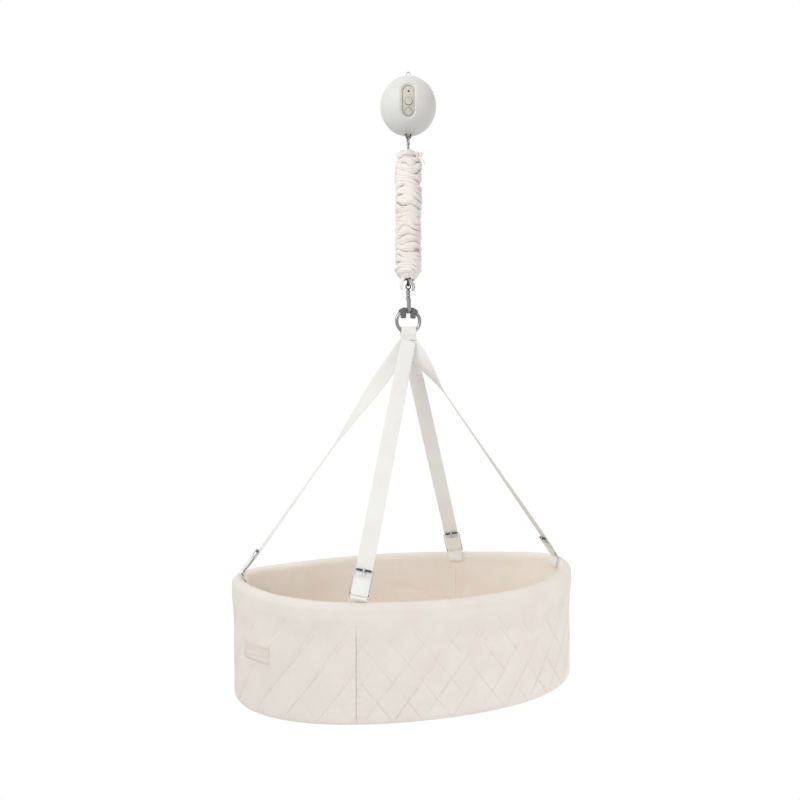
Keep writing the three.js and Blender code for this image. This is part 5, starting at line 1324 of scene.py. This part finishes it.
def basketOutside():
    size, tall, end = wall, basket["height"], quilt["coverEnd"]
    rings = [ringAt(inset * mm, tall - up * mm) for inset, up in size["bottomInsets"]]
    bottom = quiltHeight(size["bottomRise"] * mm)
    rings += [clothRow(depth * mm, bottom * (k + 0.6) / 6) for k, depth in enumerate(size["foot"])]
    firstRow = len(rings)
    for depth in np.arange(size["from"], size["to"], -size["step"]):
        share = smoothArray(depth, size["to"], size["to"] + 20)
        rings.append(clothRow(depth * mm, quiltHeight(depth * mm) * share + rimWave(0) * (1 - share)))
        wallRows[float(depth)] = rings[-1]
    rings += rollRows(size["roll"] + (end,), 0) + rollRows([end + 0.012], -0.5)
    rings += rollRows(size["innerRoll"], -2.4)
    for depth in size["inside"]:
        lean = basket["taper"] * depth * mm / tall
        rings.append(ringAt(basket["wallInset"] + size["insideInset"] * mm + lean, depth * mm))
    rings += [ringAt(inset * mm, tall - size["floor"] * mm) for inset in size["floorInsets"]]
    piece = shellMesh("basketWall", rings, "quilt", (firstRow, size["from"] * mm))
    standsFor(piece, "basket_wall")


# Sizes in mm, and shares of the roll
lining = {
    "inset": 28, "floorDepth": 224.4, "corner": 14, "wrinkle": 1.5, "seamDepth": 1.7, "thickness": 2.2,
    "outerInset": 7, "outerDepths": (205, 120, 40, 26), "outerRoll": (0.85, 0.7), "lap": 0.006, "proud": 0.1,
    "roll": (0.6, 0.66, 0.72, 0.78, 0.84, 0.9, 0.96), "from": 18, "step": 3.4,
    "cornerTurns": (0.2, 0.5, 0.8, 1.0), "fill": 0.3,
}


# Wrinkles of the lining: long soft creases that run down or slant, and the two seams
def liningWave(depth):
    long, fine = noiseRing(depth * 0.3, 20, 41), noiseRing(depth, 60, 53)
    slant = noiseRing(depth * 0.6, 11, 47, columns + depth * 2.2)
    broad = noiseRing(depth, 7, 44, columns - depth * 1.5)
    ridge = np.clip(1 - np.abs(slant) * 5, 0, 1) ** 1.5
    groove = np.exp(-(seamAway / 1.6) ** 2) * lining["seamDepth"]
    return (lining["wrinkle"] * long + 2.2 * broad + 2.7 * ridge + 0.3 * fine - groove) * mm


def basketInside():
    size = lining
    inset, floorDepth, corner = size["inset"] * mm, size["floorDepth"] * mm, size["corner"] * mm
    rings = [ringAt(more * mm, floorDepth + 2.4 * mm) for more in (120, 60, 44)]
    rings += [ringAt(inset - size["outerInset"] * mm, depth * mm) for depth in size["outerDepths"]]
    top = quilt["coverEnd"] - size["lap"]
    rings += rollRows(size["outerRoll"] + (top,), -size["thickness"]) + rollRows([top], -0.5)
    rings += rollRows((top + 0.008,) + size["roll"], size["proud"])
    for depth in np.arange(size["from"], size["floorDepth"] - size["corner"], size["step"]):
        tuck = 0.3 * mm * math.exp(-((depth - 27) / 5) ** 2)
        lean = 0.4 * basket["taper"] * depth * mm / basket["height"]
        wave = liningWave(depth * mm) * float(smoothArray(depth, size["from"], 50))
        rings.append(ringAt(inset - tuck + lean - wave, depth * mm))
    for angle in (turn * math.pi / 2 for turn in size["cornerTurns"]):
        across, down = 1 - math.cos(angle), 1 - math.sin(angle)
        rings.append(ringAt(inset + 2 * mm + corner * across, floorDepth - corner * down))
    rings += [ringAt(more * mm, floorDepth) for more in (60, 120)]
    piece = standsFor(shellMesh("basketLining", rings, "lining"), "basket_lining")


def bake(piece):
    evaluated = piece.evaluated_get(bpy.context.evaluated_depsgraph_get())
    mesh, old = bpy.data.meshes.new_from_object(evaluated), piece.data
    piece.modifiers.clear()
    piece.data = mesh
    bpy.data.meshes.remove(old)


def pointsOf(mesh):
    points = np.empty(len(mesh.vertices) * 3, np.float32)
    mesh.vertices.foreach_get("co", points)
    return points.reshape(-1, 3)


# Profile in mm: how far inside the outline, and how high over the board
mattress = {
    "inset": 36.5, "bottom": 224.1, "columns": 120, "fill": 0.75, "lift": 0.4,
    "profile": ((8, 0.6), (2.5, 2.2), (0, 7), (-0.4, 15), (0, 23), (2.5, 28.6), (8, 30.8), (18, 31.8),
                (40, 33.5), (80, 34.6), (140, 35.2)),
    "voxel": 6.5, "pressure": 4.0, "cap": 9, "kept": 0.35, "steps": 12, "quality": 4, "tension": 25,
}


# Thin foam mattress with a rounded edge, puffed by a short cloth run
def mattressPad():
    size, base, rings = mattress, rimZ - mattress["bottom"] * mm, []
    angles = np.linspace(0, fullTurn, size["columns"], endpoint=False)
    for inset, rise in size["profile"]:
        x = (basket["halfLength"] - (size["inset"] + inset) * mm) * np.cos(angles)
        y = (basket["halfWidth"] - (size["inset"] + inset) * mm) * np.sin(angles)
        rings.append([Vector((a, b, base + rise * mm)) for a, b in zip(x, y)])
    pad = gridPiece("mattressPad", rings, None, "mattress", caps=sealed)
    puffUp(pad, base + size["lift"] * mm)
    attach(pad, "mattress")
    standsFor(pad, "mattress")


# Remesh, a short cloth run with inner pressure, and a cap on how far a point moves
def puffUp(piece, floorZ):
    size = mattress
    bpy.context.view_layer.objects.active = piece
    remesh = piece.modifiers.new("even", "REMESH")
    remesh.mode, remesh.voxel_size, remesh.use_smooth_shade = "VOXEL", size["voxel"] * mm, True
    bake(piece)
    before = pointsOf(piece.data)
    settings = piece.modifiers.new("puff", "CLOTH").settings
    settings.use_pressure = True
    settings.uniform_pressure_force = size["pressure"]
    settings.effector_weights.gravity = 0
    settings.quality = size["quality"]
    settings.tension_stiffness = size["tension"]
    for step in range(1, size["steps"] + 1):
        scene.frame_set(step)
    bake(piece)
    scene.frame_set(1)
    moved = pointsOf(piece.data) - before
    reach = np.maximum(np.linalg.norm(moved, axis=1, keepdims=True), 1e-9)
    placed = before + moved * np.minimum(1, size["cap"] * mm / reach) * size["kept"]
    placed[:, 2] = np.maximum(placed[:, 2], floorZ)
    piece.data.vertices.foreach_set("co", placed.ravel())
    piece.data.update()
    piece.data.polygons.foreach_set("use_smooth", [True] * len(piece.data.polygons))


# Sizes in mm, and the angle in degrees
label = {
    "angle": 208.7, "width": 70, "height": 31, "drop": 118, "thick": 0.9, "proud": 4.35,
    "cols": 44, "rows": 22,
}


# A place on the label, from its middle, given by how far it stands out of the wall
def labelPoint(x, y, proud):
    angle = math.radians(label["angle"])
    angle += x * mm / tangentLength(angle)
    drop = (label["drop"] + y) * mm
    share = drop / basket["height"]
    square = basket["squareness"] * math.sin(2 * angle) ** 2 * share ** 1.5
    return wallPoint(angle, basket["wallInset"] + basket["bow"] * share - square - proud * mm, drop)


# A slightly wavy cloth patch, sewn down along its edges
def labelPatch():
    size, rows, cols = label, label["rows"], label["cols"]
    front, back = [], []
    for row in range(rows + 1):
        for col in range(cols + 1):
            a, b = col / cols - 0.5, row / rows - 0.5
            edge = max(abs(a), abs(b)) * 2
            wave = 0.8 * math.sin(a * 5 + b * 13 + 1) + 0.45 * math.sin(b * 24 + a * 3)
            dip = -0.5 * math.exp(-((1 - edge) / 0.05 - 1.6) ** 2)
            rise = size["proud"] + (wave * 0.55 + dip) * (1 if edge < 0.97 else 0.2)
            front.append(labelPoint(a * size["width"], b * size["height"], rise))
            back.append(labelPoint(a * size["width"], b * size["height"], rise - size["thick"]))
    half, wide = len(front), cols + 1
    faces = gridFaces(rows + 1, wide, wrap=False)[0] + gridFaces(rows + 1, wide, wrap=False, first=half)[0]
    rim = list(range(cols)) + [row * wide + cols for row in range(rows)]
    rim += [rows * wide + col for col in range(cols, 0, -1)] + [row * wide for row in range(rows, 0, -1)]
    faces += [(a, b, b + half, a + half) for a, b in zip(rim, rim[1:] + rim[:1])]
    piece = makePiece("labelPatch", front + back, faces, "basket", "label")
    layer = piece.data.uv_layers.new(name="UVMap")
    for loop in piece.data.loops:
        row, col = divmod(loop.vertex_index % half, wide)
        layer.data[loop.index].uv = (col / cols * size["width"] * mm, row / rows * size["height"] * mm)
    standsFor(piece, "label_patch")


# Stitches along the edges of a mesh of lines
def stitchTree(material):
    tree = bpy.data.node_groups.new("stitchRow", "GeometryNodeTree")
    sockets = {}
    tree.interface.new_socket(name="Lines", in_out="INPUT", socket_type="NodeSocketGeometry")
    for name, kind in (("Pitch", "Float"), ("Length", "Float"), ("Width", "Float"), ("Seed", "Int")):
        socket = tree.interface.new_socket(name=name, in_out="INPUT", socket_type="NodeSocket" + kind)
        sockets[name] = socket.identifier
    tree.interface.new_socket(name="Stitches", in_out="OUTPUT", socket_type="NodeSocketGeometry")
    given = addNode(tree, "NodeGroupInput").outputs
    step = lambda kind, links, output=0, **values: addNode(tree, kind, links, **values).outputs[output]
    lines = step("GeometryNodeMeshToCurve", {"Mesh": given["Lines"]})
    even = step("GeometryNodeResampleCurve", {"Curve": lines, "Length": given["Pitch"]}, mode="LENGTH")
    bead = step("GeometryNodeMeshUVSphere", {"Segments": 6, "Rings": 4, "Radius": 0.5}, "Mesh")
    size = step("ShaderNodeCombineXYZ", {0: given["Width"], 1: given["Width"], 2: given["Length"]})
    sized = step("GeometryNodeTransform", {"Geometry": bead, "Scale": size})
    tangent = step("GeometryNodeInputTangent", {})
    turn = step("FunctionNodeAlignRotationToVector", {"Vector": tangent}, axis="Z")
    draw = {0: (0.85, 0.85, 0.8), 1: (1.1, 1.1, 1.1), "Seed": given["Seed"]}  # least and most
    uneven = step("FunctionNodeRandomValue", draw, data_type="FLOAT_VECTOR")
    links = {"Points": even, "Instance": sized, "Rotation": turn, "Scale": uneven}
    real = step("GeometryNodeRealizeInstances", {"Geometry": step("GeometryNodeInstanceOnPoints", links)})
    coloured = step("GeometryNodeSetMaterial", {"Geometry": real, "Material": material})
    plug(tree, addNode(tree, "NodeGroupOutput"), {0: coloured})
    return tree, sockets


# Pitch, length and width of the stitches, in mm
threads = {
    "quiltStitches": (4.8, 3.2, 0.5), "rimStitches": (4.0, 2.8, 0.55), "labelStitches": (3.0, 2.1, 0.45),
    "strapStitches": (3.4, 2.5, 0.6),
}
threadSeed = 3


def stitches(name, lines, finish):
    points, edges = [], []
    for line in lines:
        first = len(points)
        points += [tuple(p) for p in line]
        edges += [(first + i, first + i + 1) for i in range(len(line) - 1)]
    mesh = bpy.data.meshes.new(name)
    mesh.from_pydata(points, edges, [])
    piece = bpy.data.objects.new(name, mesh)
    scene.collection.objects.link(piece)
    tree, sockets = stitchTree(finishes[finish])
    rows = piece.modifiers.new("rows", "NODES")
    rows.node_group = tree
    for key, value in zip(("Pitch", "Length", "Width"), threads[name]):
        rows[sockets[key]] = value * mm
    rows[sockets["Seed"]] = threadSeed
    bake(piece)
    if not piece.data.materials:
        piece.data.materials.append(finishes[finish])
    piece.data.polygons.foreach_set("use_smooth", [True] * len(piece.data.polygons))
    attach(piece, "basket")


# A point just off the outer cloth, at a way along the rim from the front seam and a depth, both in mm
def onWall(along, depth, proud=0.15):
    depths = sorted(wallRows)
    place = (seamPlaces[0] + along * mm) % rimLength
    low = max(0, min(int((depth - depths[0]) / (depths[1] - depths[0])), len(depths) - 2))
    share = (depth - depths[low]) / (depths[low + 1] - depths[low])
    row = wallRows[depths[low]] * (1 - share) + wallRows[depths[low + 1]] * share
    point = Vector([float(np.interp(place, rimPlaces, row[:, axis], period=rimLength)) for axis in range(3)])
    outward = Vector((point.x / basket["halfLength"] ** 2, point.y / basket["halfWidth"] ** 2, 0))
    return point + outward.normalized() * proud * mm


# The quilting's sewn lines in both panels, clear of the seams and of the label
def quiltLines(margin=4, overhang=150):
    lines = []
    right = rightLength / mm
    for panel, low, high in (("left", right - rimLength / mm, 0), ("right", 0, right)):
        width = quilt[panel + "Width"]
        for kind, sign in (("Rise", 1), ("Fall", -1)):
            offset = quilt[panel + kind]
            first, last = int((low - offset - overhang) / width), int((high - offset + overhang) / width)
            for k in range(first, last + 1):
                line = []
                for depth in np.arange(quilt["start"] + 5, 222, 6.0):
                    along = k * width + offset - sign * (depth - quilt["middle"]) / quilt["slope"]
                    column = int(np.argmin(np.abs(signedFrom((seamPlaces[0] + along * mm) % rimLength))))
                    bare = bareAway[column] < 40 and abs(depth - quilt["bareDepth"]) < 24
                    if low + margin < along < high - margin and not bare:
                        line.append(onWall(along, depth))
                    else:
                        lines.append(line)
                        line = []
                lines.append(line)
    return [line for line in lines if len(line) > 1]


def labelLine(inset=2.6, steps=8):
    w, h = label["width"] / 2 - inset, label["height"] / 2 - inset
    corners = [(-w, -h), (w, -h), (w, h), (-w, h)]
    path = []
    for (a, b), (c, d) in zip(corners, corners[1:] + corners[:1]):
        for share in (k / steps for k in range(steps)):
            path.append(labelPoint(a + (c - a) * share, b + (d - b) * share, label["proud"] + 0.1))
    return path + [path[0]]


strapSeams = {
    "heights": (35.5, 38.5), "reach": 15.5, "crownZ": (-607.5, -611.2), "crownReach": 15.8, "middle": 5,
}


# Two rows across each strap's fold, and two on either side of the crown's foot
def strapLines():
    size, lines = strapSeams, []
    spread = lambda reach: (-reach, -size["middle"], size["middle"], reach)
    out = clearance + halfWeb + 0.12 * mm
    for end in ends.values():
        for height in size["heights"]:
            lines.append([endPoint(end, x * mm, height * mm, out) for x in spread(size["reach"])])
    reach, low = crownReach(1)
    for sign in (-1, 1):
        for z in size["crownZ"]:
            share = (z * mm - crownBottom) / (ringBottom - crownBottom)
            y = low + (reach - low) * smoothstep(share, 0.1, 1.0) + crown["layer"] / 2 + 0.1 * mm
            lines.append([Vector((x * mm, sign * y, z * mm)) for x in spread(size["crownReach"])])
    return lines


def allStitches():
    stitches("quiltStitches", quiltLines(), "quilt")
    edge = [Vector(p) for p in rollRow(quilt["coverEnd"] - 0.035, basket["roll"] + 0.12 * mm)]
    stitches("rimStitches", [edge + edge[:1]], "quilt")
    stitches("labelStitches", [labelLine()], "label")
    stitches("strapStitches", strapLines(), "webbing")


# Finishes of the CAD solids that show only when the object is opened
inner = {
    "load_frame": "steel", "eye_nut": "steel", "winch_spool": "dark", "gearbox": "steel",
    "gear_motor": "steel", "battery_pack": "dark", "circuit_board": "board", "guide_bush": "hoop",
    "lift_belt": "greyTape", "shell_screw_left": "steel", "shell_screw_right": "steel", "rim_hoop": "hoop",
    "base_board": "wood",
}

basketOutside()
basketInside()
labelPatch()
print("basket done")
mattressPad()
print("mattress done")
allStitches()
print("stitches done")
for node, finish in inner.items():
    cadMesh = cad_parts[node].data
    cadMesh.materials.clear()
    cadMesh.materials.append(finishes[finish])
